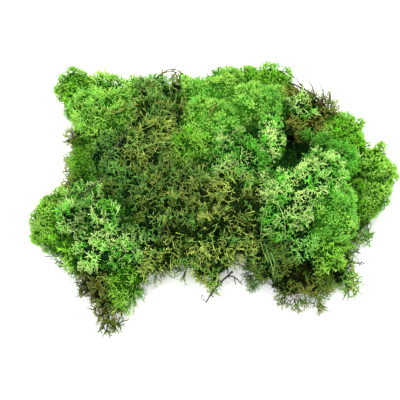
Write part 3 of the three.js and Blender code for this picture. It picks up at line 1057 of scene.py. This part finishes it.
UNDERNEATH, FAR_UNDERNEATH = -0.5, -0.8  # nothing grows where a surface faces down more than this
FLOOR_GAP = 0.05 * MM
UNDER_SINK = 0.3 * MM
PROUD = 1.5 * MM  # how far the highest tips may stand above the solids
# Painted shade and light by how open a place is: how far out from dark to bright a hidden
# branchlet stops, in the tufts and in their undergrowth, and how much farther an open one goes.
DIM, UNDER_DIM, BY_LIGHT = 0.3, 0.2, 1.9
FROM_BLACK = 7.0  # how steeply it darkens below that in the deepest hollows
UNDER_LIGHT = 0.85  # the brightest that undergrowth is
# The rows of the map: how wide the dull to bright half is for each dye, where the second starts,
# and how much wider a row is from one side of a strand to the other.
ROWS, SECOND_DYE, ROW_WIDTH = 0.44, 0.5, 0.05
DULLEST_UNDER, SECOND_UNDER = 0.15, 0.3  # the undergrowth's least tone and share of second dye
TONE_STRAY = 0.3  # how far a branchlet's tone strays
# The heart's painted shade: its dull row, how little of the way to bright it goes, and how fine its
# grain is.
HEART_ROW, HEART_LIGHT, HEART_GRAIN = 0.02, 0.03, 60.0
SIZE_VARIES = (0.8, 1.2)
ROUND = 6.283
CROWD = 4.0  # how many tries there are for each branchlet that finds room
# Each random draw has a seed of its own.
KIND_SEED, SIZE_SEED, TURN_SEED, TONE_SEED, DYE_SEED = 3, 5, 11, 8, 9
UNDER_TONE_SEED, UNDER_DYE_SEED = 4, 6


def scattered(tree, ground, kinds, spacing, scatter, sink, lowest, upward=None, kept=1.0):
    """Branchlets that stand on a surface, each turned its own way, as instances."""
    facing = tree.outputs("ShaderNodeSeparateXYZ", None, tree.value("GeometryNodeInputNormal"))[2]
    points, normal, _ = tree.outputs(
        "GeometryNodeDistributePointsOnFaces",
        {"distribute_method": "POISSON"},
        Mesh=ground,
        Selection=(tree.read("open") > FULLY_HIDDEN) * (facing > lowest),
        Distance_Min=spacing,
        Density_Max=CROWD / (spacing * spacing),
        Density_Factor=kept,
        Seed=tree.given["Seed"],
    )
    stray = tree.chance((-1, -1, -1), (1, 1, 1), tree.given["Seed"], "FLOAT_VECTOR")
    heading = tree.value(
        "ShaderNodeVectorMath", {"operation": "ADD"}, upward or normal, tree.scaled(stray, scatter)
    )
    turned = tree.value(
        "FunctionNodeRotateRotation",
        {"rotation_space": "LOCAL"},
        Rotation=tree.value("FunctionNodeAlignRotationToVector", {"axis": "Z"}, Vector=heading),
        Rotate_By=tree.value(
            "FunctionNodeAxisAngleToRotation", Axis=UP, Angle=tree.chance(0.0, ROUND, TURN_SEED)
        ),
    )
    rooted = tree.value(
        "GeometryNodeSetPosition", Geometry=points, Offset=tree.scaled(normal, sink * -1.0)
    )
    kinds = tree.value(
        "GeometryNodeCollectionInfo", Collection=kinds, Separate_Children=True, Reset_Children=True
    )
    return tree.value(
        "GeometryNodeInstanceOnPoints",
        Points=rooted,
        Instance=kinds,
        Pick_Instance=True,
        Instance_Index=tree.chance(0, BRANCHLETS - 1, KIND_SEED, "INT"),
        Rotation=turned,
        Scale=tree.chance(*SIZE_VARIES, SIZE_SEED),
    )


def light_of(tree, dim):
    """Painted shade and light: how far from dark to bright a branchlet goes, by how open it is."""
    return (tree.read("open") * BY_LIGHT + dim).at_most(tree.read("open") * FROM_BLACK)


def moss_tree():
    """Covers a head with branchlets, and joins the heart and its undergrowth to them."""
    tree = Tree(
        "Moss cover",
        (
            ("Head", "Geometry", None),
            ("Heart", "Object", None),
            ("Branchlets", "Collection", None),
            ("Undergrowth", "Collection", None),
            ("Moss", "Material", None),
            ("Spacing", "Float", 2 * MM),
            ("Undergrowth Spacing", "Float", 2 * MM),
            ("Undergrowth Scatter", "Float", 0.6),
            ("Undergrowth Light", "Float", 0.6),
            ("Scatter", "Float", 0.3),
            ("Sink", "Float", 3 * MM),
            ("Top", "Float", 60 * MM),
            ("Seed", "Int", 1),
        ),
    )
    given = tree.given
    placed = scattered(
        tree,
        ground=given["Head"],
        kinds=given["Branchlets"],
        spacing=given["Spacing"],
        scatter=given["Scatter"],
        sink=given["Sink"],
        lowest=UNDERNEATH,
        upward=tree.read("grow", "FLOAT_VECTOR"),
    )
    tone = tree.read("tone") + tree.chance(-TONE_STRAY, TONE_STRAY, TONE_SEED)
    other = tree.chance(0.0, 1.0, DYE_SEED) < tree.read("dye")
    shade = tone.at_least(0.0).at_most(1.0) * ROWS + other * SECOND_DYE
    placed = tree.store(placed, "shade", shade, domain="INSTANCE")
    # Painted shade and light of the branchlets; bright patches add more beyond the fully open.
    more = (tree.read("open") - 1.0).at_least(0.0)
    light = light_of(tree, DIM).at_most(1.0) + more
    placed = tree.store(placed, "light", light, domain="INSTANCE")

    *_, heart = tree.outputs("GeometryNodeObjectInfo", None, given["Heart"])
    under = scattered(
        tree,
        ground=heart,
        kinds=given["Undergrowth"],
        spacing=given["Undergrowth Spacing"],
        scatter=given["Undergrowth Scatter"],
        sink=UNDER_SINK,
        lowest=FAR_UNDERNEATH,
        kept=tree.read("crowd"),
    )
    other = tree.chance(0.0, 1.0, UNDER_DYE_SEED) < SECOND_UNDER
    shade = tree.chance(DULLEST_UNDER, ROWS, UNDER_TONE_SEED) + other * SECOND_DYE
    under = tree.store(under, "shade", shade, domain="INSTANCE")
    # The undergrowth's painted shade and light.
    light = light_of(tree, UNDER_DIM).at_most(given["Undergrowth Light"])
    under = tree.store(under, "light", light, domain="INSTANCE")

    x, y, _ = tree.place()
    # The heart keeps close to its moss's depth colour, in the dullest row: painted shade deep
    # inside the tuft, with a fine grain.
    heart = tree.store(heart, "along", (x * HEART_GRAIN).fraction() * HEART_LIGHT)
    heart = tree.store(heart, "side", (y * HEART_GRAIN).fraction())
    heart = tree.store(heart, "shade", HEART_ROW)
    heart = tree.store(heart, "light", 1.0)
    joined = tree.node("GeometryNodeJoinGeometry")
    for geometry in (
        tree.value("GeometryNodeRealizeInstances", Geometry=placed),
        tree.value("GeometryNodeRealizeInstances", Geometry=under),
        heart,
    ):
        tree.put(joined.inputs[0], geometry)

    # A branchlet's place on its ramp from the shaded depths to its tips, cut short by its painted
    # shade.
    bright = (tree.read("along") * tree.read("light")).at_most(1.0)
    row = tree.read("shade") + tree.read("side") * ROW_WIDTH
    sheet = tree.value("ShaderNodeCombineXYZ", None, bright, row)
    mapped = tree.store(Value(tree, joined.outputs[0]), "OFBake", sheet, "FLOAT2", "CORNER")
    x, y, z = tree.place()
    height = z.at_least(FLOOR_GAP).at_most(given["Top"])
    lifted = tree.value("ShaderNodeCombineXYZ", None, x, y, height)
    rested = tree.value("GeometryNodeSetPosition", Geometry=mapped, Position=lifted)
    for label in ("along", "side", "shade", "light", "open", "crowd"):
        rested = tree.value("GeometryNodeRemoveAttribute", Geometry=rested, Name=label)
    smooth = tree.value("GeometryNodeSetShadeSmooth", Geometry=rested, Shade_Smooth=True)
    painted = tree.value("GeometryNodeSetMaterial", Geometry=smooth, Material=given["Moss"])
    tree.put(tree.group.nodes.new("NodeGroupOutput").inputs[0], painted)
    return tree.group


def apply_tree(source, group, values, name):
    """Runs a node group on an object and gives back the result as a plain mesh object."""
    scene = bpy.context.scene.collection
    scene.objects.link(source)
    modifier = source.modifiers.new("grow", "NODES")
    modifier.node_group = group
    for item in group.interface.items_tree:
        if item.item_type == "SOCKET" and item.in_out == "INPUT" and item.name in values:
            modifier[item.identifier] = values[item.name]
    grown = source.evaluated_get(bpy.context.evaluated_depsgraph_get())
    mesh = bpy.data.meshes.new_from_object(grown)
    scene.objects.unlink(source)
    mesh.name = name
    piece = bpy.data.objects.new(name, mesh)
    scene.objects.link(piece)
    return piece


# ---- Materials ----
MATT = 0.06  # how little the surfaces mirror
MOSS_ROUGH, BARK_ROUGH, FLOOR_ROUGH = 0.8, 0.85, 0.9
OBJECT_COORDINATES = 3  # where the Texture Coordinate node has that output
FLECKS = 700.0  # flecks of bark in a metre
DARK_BARK, PALE_BARK = 0.35, 0.7
# The dull and the bright copy of each dye; a branchlet's tone between them is partly random and
# partly painted light and shade.
DULL, BRIGHT = 0.55, 1.25  # how the dullest and the brightest branchlets differ from the dye
# Where a branchlet is between its depths, painted as shade, and its stem, between its stem and its
# tip, and all tip.
NEAR_DEPTHS, NEAR_TIPS, ALL_TIP = 0.3, 0.55, 0.95
NEAR_TIPS_DULLER = 0.8
ROW_EDGE = 0.005  # between the rows of the first and of the second dye
TONE_OF_ROW = 2.04  # makes the widest row of a dye its brightest tone


class Paint(Nodes):
    """A material under construction."""

    def __init__(self, name, roughness):
        self.material = bpy.data.materials.new(name)
        self.material.use_nodes = True
        super().__init__(self.material.node_tree)
        self.shader = self.group.nodes["Principled BSDF"]
        self.shader.inputs["Roughness"].default_value = roughness
        self.shader.inputs["Specular IOR Level"].default_value = MATT

    def mix(self, share, one, two):
        """From the first colour at 0 to the second at 1."""
        return self.value("ShaderNodeMix", {"data_type": "RGBA"}, Factor=share, A=one, B=two)

    def ramp(self, along, stops):
        """A colour that changes along the stops."""
        ends = [stops[0], stops[-1], *stops[1:-1]]
        return self.value("ShaderNodeValToRGB", {"stops": ends}, along)

    def colour(self, value):
        """Gives the surface its colour."""
        self.put(self.shader.inputs["Base Color"], value)


def dimmed(colour, factor):
    return tuple(min(1, channel * factor) for channel in colour)


def halfway(one, two):
    return tuple((a + b) / 2 for a, b in zip(one, two))


def moss_material(moss, colours):
    """Painted shade at a branchlet's foot, deep in the moss, and bright at its tips. Each branchlet
    has its own row of the map: the lower half for the first dye, the upper for the second, and dull
    to bright in each."""
    paint = Paint(moss, MOSS_ROUGH)
    uv = paint.value("ShaderNodeUVMap", {"uv_map": "OFBake"})
    along, row, _ = paint.outputs("ShaderNodeSeparateXYZ", None, uv)
    other = row > SECOND_DYE - ROW_EDGE
    tone = (row - other * SECOND_DYE) * TONE_OF_ROW
    depths, stems, tips, others = (getattr(colours, f"{moss}_{part}") for part in PARTS_OF_MOSS)
    dyes = []
    for ends in (tips, others):
        dull, bright = (
            paint.ramp(
                along,
                (
                    (0.0, depths),
                    (NEAR_DEPTHS, dimmed(halfway(depths, stems), factor)),
                    (NEAR_TIPS, dimmed(halfway(stems, ends), factor * NEAR_TIPS_DULLER)),
                    (ALL_TIP, dimmed(ends, factor)),
                ),
            )
            for factor in (DULL, BRIGHT)
        )
        dyes.append(paint.mix(tone, dull, bright))
    paint.colour(paint.mix(other, *dyes))
    return paint.material


def bark_material(name, dark, pale):
    """Dark and pale flecks of about a millimetre and a half."""
    paint = Paint(name, BARK_ROUGH)
    place = paint.outputs("ShaderNodeTexCoord")[OBJECT_COORDINATES]
    grain = paint.value("ShaderNodeTexNoise", None, Vector=place, Scale=FLECKS, Detail=3.0)
    paint.colour(paint.ramp(grain, ((DARK_BARK, dark), (PALE_BARK, pale))))
    return paint.material


# ---- Growing the tufts ----
WORK = {}
FINE, COARSE = 5, 4  # how finely the balls are divided
ROOTED = 0.8  # how much of an upright branchlet stands inside its tuft's outline


def habit_of(name):
    return HABIT_OF_TUFT.get(name, HABIT_OF_MOSS[SLOT_OF[name]])


def prepare(context):
    """What all the tufts share: their heads and hearts, what hides what, and the node tree."""
    if not WORK:
        heads = [Head(name) for name, moss in SLOT_OF.items() if moss in MOSSES]
        fine, coarse = ball_mesh(FINE), ball_mesh(COARSE)
        shells = all_in_one([edge_of(head, coarse[0]) for head in heads], coarse[1])
        hearts = {}
        for head in heads:
            sizes = getattr(context.scene, "moss_" + habit_of(head.name))
            hearts[head.name] = heart_shape(head, sizes, coarse, heads, shells)
        WORK["cores"] = all_in_one([heart[0] for heart in hearts.values()], coarse[1])
        WORK["fine"], WORK["coarse"], WORK["shells"] = fine, coarse, shells
        WORK["heads"], WORK["hearts"], WORK["tree"] = heads, hearts, moss_tree()
        WORK["undergrowth"] = branchlets_of("undergrowth", context.scene.moss_undergrowth)
    return WORK


def grow_tufts(habit, context):
    """Grows every tuft of one habit over its solid."""
    work = prepare(context)
    sizes = getattr(context.scene, "moss_" + habit)
    under = context.scene.moss_undergrowth
    kinds = branchlets_of(habit, sizes)
    for seed, head in enumerate(work["heads"]):
        moss = SLOT_OF[head.name]
        if habit != habit_of(head.name):
            continue
        if moss not in work:
            work[moss] = moss_material(moss, context.scene.moss_colours)
        piece = apply_tree(
            head_object(head, sizes, work["fine"], work["heads"], work["shells"]),
            work["tree"],
            {
                "Heart": core_object(head, work["coarse"], work["hearts"], work["cores"]),
                "Branchlets": kinds,
                "Undergrowth": work["undergrowth"],
                "Moss": work[moss],
                "Spacing": sizes.spacing,
                "Undergrowth Spacing": under.spacing,
                "Undergrowth Scatter": under.scatter,
                # The undergrowth's brightest painted light, lower in tufts with darker painted
                # crease shade.
                "Undergrowth Light": UNDER_LIGHT - sizes.gloom,
                "Scatter": sizes.scatter,
                "Sink": sizes.reach * sizes.upright * ROOTED,
                "Top": SOLID_BOX[1][2] + PROUD,
                "Seed": seed,
            },
            head.name + "_moss",
        )
        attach(piece, "root")
        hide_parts(head.name)


class MOSS_OT_cushions(bpy.types.Operator):
    """Grow the domed cushions"""

    bl_idname = "moss.cushions"
    bl_label = "Grow Cushions"

    def execute(self, context):
        grow_tufts("cushion", context)
        return {"FINISHED"}


class MOSS_OT_nets(bpy.types.Operator):
    """Grow the open nets of branchlets"""

    bl_idname = "moss.nets"
    bl_label = "Grow Nets"

    def execute(self, context):
        grow_tufts("net", context)
        return {"FINISHED"}


class MOSS_OT_mats(bpy.types.Operator):
    """Grow the tangled mats of long strands"""

    bl_idname = "moss.mats"
    bl_label = "Grow Mats"

    def execute(self, context):
        grow_tufts("mat", context)
        return {"FINISHED"}


class MOSS_OT_sprays(bpy.types.Operator):
    """Grow the open sprays along the edge"""

    bl_idname = "moss.sprays"
    bl_label = "Grow Sprays"

    def execute(self, context):
        grow_tufts("spray", context)
        return {"FINISHED"}


# ---- Twigs, the flake of bark, a dry leaf and a few long strands ----
# Each stem: its half-thickness in millimetres, and the places it runs through.
TWIGS = {
    "top_twig": (
        (0.6, ((-37, 60, 37), (-33, 66, 41), (-25, 70, 43), (-19, 68, 41), (-16, 63, 37))),
        (0.45, ((-38, 62, 39), (-31, 66, 43), (-23, 67, 44), (-18, 62, 40))),
        (0.4, ((-25, 70, 43), (-22, 66, 41), (-21, 61, 37))),
        (0.35, ((-31, 67, 42), (-30, 70, 45))),
    ),
    "long_twig": (
        (0.6, ((-27, -33, 38), (-34, -41, 31), (-41, -49, 25), (-48, -56, 18))),
        (0.35, ((-38, -46, 28), (-42, -46, 29), (-45, -49, 27))),
    ),
    "grey_twig": (
        (0.9, ((-63, 1, 36), (-67, -8, 35), (-71, -14, 34), (-74, -18, 32))),
        (0.4, ((-68, -10, 35), (-72, -11, 36))),
    ),
    "upper_twig": (
        (0.6, ((-48, 29, 38), (-53, 20, 38), (-57, 14, 36), (-60, 11, 32))),
        (0.35, ((-54, 19, 38), (-52, 14, 37))),
    ),
    "spiky_twig": (
        (0.55, ((64, 42, 40), (56, 49, 44), (47, 56, 44), (42, 62, 40))),
        (0.45, ((57, 48, 44), (55, 56, 45), (50, 63, 44))),
        (0.45, ((52, 52, 44), (46, 60, 46), (43, 66, 44))),
        (0.4, ((61, 45, 42), (62, 53, 43), (59, 60, 41))),
    ),
    "curled_stem": (
        (0.5, ((14, -24, 45), (19, -22, 47), (23, -23, 46), (26, -26, 43))),
    ),
    "front_stick": (
        (0.65, ((9, -49, 8), (3, -55, 7), (-2, -60, 4), (-6, -66, 1.5))),
        (0.45, ((6, -52, 8), (10, -52, 7), (15, -55, 3))),
        (0.3, ((-5, -65, 2), (-8, -63, 3), (-7, -61, 4))),
        (0.3, ((10, -52, 7), (11, -56, 4))),
    ),
}
THORN = 4 * MM  # length of the longest spikes on a twig
THORNS_EVERY = 3  # points of its path
THORN_LENGTHS, THORN_BEND = (0.4, 1), 0.08  # as shares of the longest
THORN_FOOT, THORN_MIDDLE = 0.5, 0.4  # how thick a spike is, as shares of its twig
THORN_FORWARD, THORN_UP = 0.4, 0.3
THORN_SIDES, TWIG_SIDES = 5, 6
FLAKE = (1.1, ((1, 36, 52.5), (-1, 31, 54), (-3, 27, 54), (-7, 21, 52)))
LEAF = (
    (1.2, ((-63, 37, 44), (-58, 36, 46), (-53, 38, 47), (-51, 42, 46), (-52, 46, 44))),
    (0.9, ((-49, 41, 47), (-46, 44, 49), (-45, 49, 47))),
)
STRANDS = (
    (0.28, ((30, -26, 47), (25.5, -34, 42), (24, -41, 34), (25.5, -48, 26), (28, -56, 14))),
    (0.25, ((30, -27, 47), (33, -32, 44), (36, -38, 41), (37, -44, 36))),
    (0.25, ((27, -48, 26), (29, -55, 16), (31, -60, 6))),
    (0.25, ((29, -50, 22), (31, -56, 13), (30, -60, 4))),
    (0.3, ((-43, 6, 45), (-35, 8, 47), (-28, 10, 46), (-22, 11, 45))),
)
STRAND_LIGHT, STRAND_TONE = 0.75, 0.12
STANDING = ("top_twig", "spiky_twig", "front_stick")  # these aren't laid onto the tufts
PALE = ("top_twig", "curled_stem")
RISE = 1.2 * MM  # how high a stem lies over the outline of the tufts
END_THINNER = 0.5  # how much thinner a stem is at its end
STEM_LIGHT = (0.55, 0.95)  # from the foot of a long strand to its end
PATH_STEPS = 5  # from one of a stem's places to the next
# How knotty a stem is, as a share of its thickness.
TWIG_KNOTS, LEAF_KNOTS, STRAND_KNOTS = 0.15, 0.1, 0.3
FLAKE_FLAT, LEAF_FLAT = 0.25, 0.15
TWIG_SEED, STRAND_SEED = 5, 8


def laid(path):
    """The path let down, or lifted, onto the tufts."""
    for spot in path:
        top = WORK["shells"].ray_cast(Vector((*spot.xy, 1)), -UP)[0]
        spot.z = top.z + RISE if top else FLOOR_GAP
    return path


def smooth_path(places):
    """A curve through the places, as points a few steps apart."""
    spots = [Vector(place) * MM for place in places]
    spots = [spots[0] * 2 - spots[1], *spots, spots[-1] * 2 - spots[-2]]
    path = []
    for before, one, two, after in zip(spots, spots[1:], spots[2:], spots[3:]):
        for i in range(PATH_STEPS):
            t = i / PATH_STEPS
            bend = (2 * before - 5 * one + 4 * two - after) * t**2
            ease = (3 * one - before - 3 * two + after) * t**3
            path.append((2 * one + (two - before) * t + bend + ease) / 2)
    return [*path, spots[-2]]


def add_stem(strands, rng, thick, places, knots, flat=1.0, lies=True):
    """A stem that thins towards its end, with slight knots and bends. A flat one is a leaf or a
    flake, narrow at both its ends. Gives back its path."""
    path = smooth_path(places)
    if lies:
        laid(path)
    last = len(path) - 1
    for spot in path[1:last]:
        spot += any_direction(rng) * thick * MM * knots
    radii = []
    for i in range(last):
        radius = thick * MM * (1 - END_THINNER * i / last) * (1 + rng.uniform(-knots, knots))
        if flat < 1:
            radius *= math.sin(math.pi * (i + 1) / (last + 1))
        radii.append(radius)
    foot, end = STEM_LIGHT
    alongs = [foot + (end - foot) * i / last for i in range(last + 1)]
    strands.add(path, [*radii, 0], alongs, TWIG_SIDES, flat)
    return path


def add_thorns(strands, rng, path, thick):
    """Short spikes that stand out of a stem, a little forward and up."""
    foot, half = thick * MM * THORN_FOOT, thick * MM * THORN_MIDDLE
    for i in range(2, len(path) - 2, THORNS_EVERY):
        ahead = (path[i + 1] - path[i]).normalized()
        way = (any_direction(rng) + ahead * THORN_FORWARD + UP * THORN_UP).normalized()
        end = path[i] + way * THORN * rng.uniform(*THORN_LENGTHS)
        middle = path[i].lerp(end, 0.5) + any_direction(rng) * THORN * THORN_BEND
        strands.add([path[i], middle, end], [foot, half, 0], [0, 0.5, 1], THORN_SIDES)


def finish_piece(strands, name, material, node=None):
    """Makes a piece of the scene out of strands."""
    mesh = bpy.data.meshes.new(name)
    points = [Vector((*p.xy, max(p.z, FLOOR_GAP))) for p in strands.points]
    mesh.from_pydata(points, [], strands.faces)
    mesh.shade_smooth()
    mesh.materials.append(material)
    piece = bpy.data.objects.new(name, mesh)
    bpy.context.scene.collection.objects.link(piece)
    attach(piece, "root")
    if node:
        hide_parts(node)
    return piece


class MOSS_OT_twigs(bpy.types.Operator):
    """Lay the dead twigs, the flake of bark and the dry leaf among the tufts"""

    bl_idname = "moss.twigs"
    bl_label = "Lay Twigs"

    def execute(self, context):
        colours = context.scene.moss_colours
        bark = bark_material("bark", colours.bark_dark, colours.bark_pale)
        dry = bark_material("dry leaf", colours.leaf_dark, colours.leaf_pale)
        rng = random.Random(TWIG_SEED)
        for name, stems in TWIGS.items():
            strands = StrandMesh()
            for thick, places in stems:
                lies = name not in STANDING
                path = add_stem(strands, rng, thick, places, TWIG_KNOTS, lies=lies)
                add_thorns(strands, rng, path, thick)
            material = dry if name in PALE else bark
            finish_piece(strands, name + "_bark", material, name)
        strands = StrandMesh()
        add_stem(strands, rng, *FLAKE, LEAF_KNOTS, FLAKE_FLAT)
        finish_piece(strands, "flake_of_bark", dry, "bark_flake")
        strands = StrandMesh()
        for thick, places in LEAF:
            add_stem(strands, rng, thick, places, LEAF_KNOTS, LEAF_FLAT)
        finish_piece(strands, "dry_leaf", dry)
        return {"FINISHED"}


class MOSS_OT_strands(bpy.types.Operator):
    """Trail a few long pale strands over the tufts"""

    bl_idname = "moss.strands"
    bl_label = "Trail Strands"

    def execute(self, context):
        strands = StrandMesh()
        rng = random.Random(STRAND_SEED)
        for thick, places in STRANDS:
            path = add_stem(strands, rng, thick, places, STRAND_KNOTS)
            add_thorns(strands, rng, path, thick)
        piece = finish_piece(strands, "long_strands", WORK["pale_moss"])
        sheet = piece.data.uv_layers.new(name="OFBake")
        for loop in piece.data.loops:
            i = loop.vertex_index
            row = STRAND_TONE + ROW_WIDTH * strands.side[i]
            sheet.uv[loop.index].vector = (STRAND_LIGHT * strands.along[i], row)
        return {"FINISHED"}


# ---- Stage ----
AIM = Vector((-8.75, -16.4, 30)) * MM  # the camera looks a little to the left of the middle
LENS = 122.7
FLOOR_SIZE = 6
# Each lamp: its place, its size, and its power as a share of the key lamp's.
LAMPS = {"key": ((0.1, 0.45, 0.9), 0.7, 1), "front": ((-0.3, -0.8, 0.8), 0.9, 0.5)}


class MOSS_OT_stage(bpy.types.Operator):
    """Lay the pale floor and set up the light and the camera"""

    bl_idname = "moss.stage"
    bl_label = "Set Up Stage"

    def execute(self, context):
        scene = context.scene
        stage = scene.moss_stage
        bpy.ops.mesh.primitive_plane_add(size=FLOOR_SIZE)
        floor = context.object
        floor.name = "floor"
        pale = Paint("pale floor", FLOOR_ROUGH)
        pale.shader.inputs["Base Color"].default_value = (*scene.moss_colours.floor, 1)
        pale.shader.inputs["Emission Color"].default_value = (1, 1, 1, 1)
        pale.shader.inputs["Emission Strength"].default_value = stage.glow
        floor.data.materials.append(pale.material)

        world = bpy.data.worlds.new("studio")
        world.use_nodes = True
        background = world.node_tree.nodes["Background"]
        background.inputs["Color"].default_value = (1, 1, 1, 1)
        background.inputs["Strength"].default_value = stage.sky
        scene.world = world
        for name, (place, size, power) in LAMPS.items():
            lamp = bpy.data.lights.new(name, "AREA")
            lamp.size, lamp.energy = size, stage.key * power
            light = bpy.data.objects.new(name, lamp)
            light.location = place
            light.rotation_mode = "QUATERNION"
            light.rotation_quaternion = (-Vector(place)).to_track_quat("-Z", "Y")
            scene.collection.objects.link(light)

        camera = bpy.data.cameras.new("camera")
        camera.sensor_width = 36
        camera.lens = LENS
        back = Vector((0, -math.cos(stage.elevation), math.sin(stage.elevation)))
        view = bpy.data.objects.new("camera", camera)
        view.location = AIM + back * stage.distance
        view.rotation_mode = "QUATERNION"
        view.rotation_quaternion = (-back).to_track_quat("-Z", "Y")
        scene.collection.objects.link(view)
        scene.camera = view
        scene.view_settings.view_transform = "Standard"
        return {"FINISHED"}


class MOSS_PT_panel(bpy.types.Panel):
    """The steps that build the clump, and their settings"""

    bl_label = "Reindeer Moss"
    bl_space_type = "VIEW_3D"
    bl_region_type = "UI"
    bl_category = "Moss"

    def draw(self, context):
        for operator in OPERATORS:
            self.layout.operator(operator.bl_idname)
        for group in SETTINGS:
            settings = getattr(context.scene, group)
            box = self.layout.box()
            box.label(text=group.replace("moss_", "").title())
            for name in settings.__annotations__:
                box.prop(settings, name)


OPERATORS = (
    MOSS_OT_cushions,
    MOSS_OT_nets,
    MOSS_OT_mats,
    MOSS_OT_sprays,
    MOSS_OT_strands,
    MOSS_OT_twigs,
    MOSS_OT_stage,
)
SETTINGS = {
    "moss_cushion": CushionSizes,
    "moss_net": NetSizes,
    "moss_mat": MatSizes,
    "moss_spray": SpraySizes,
    "moss_undergrowth": UndergrowthSizes,
    "moss_colours": MossColours,
    "moss_stage": StageSizes,
}


def register():
    for item in (*SETTINGS.values(), *OPERATORS, MOSS_PT_panel):
        bpy.utils.register_class(item)
    for name, group in SETTINGS.items():
        setattr(bpy.types.Scene, name, bpy.props.PointerProperty(type=group))


def unregister():
    for name in SETTINGS:
        delattr(bpy.types.Scene, name)
    for item in (MOSS_PT_panel, *reversed(OPERATORS), *reversed(SETTINGS.values())):
        bpy.utils.unregister_class(item)


def main():
    """Builds the clump and its stage."""
    register()
    bpy.ops.moss.cushions()
    bpy.ops.moss.nets()
    bpy.ops.moss.mats()
    bpy.ops.moss.sprays()
    bpy.ops.moss.strands()
    bpy.ops.moss.twigs()
    bpy.ops.moss.stage()


if __name__ == "__main__":
    main()
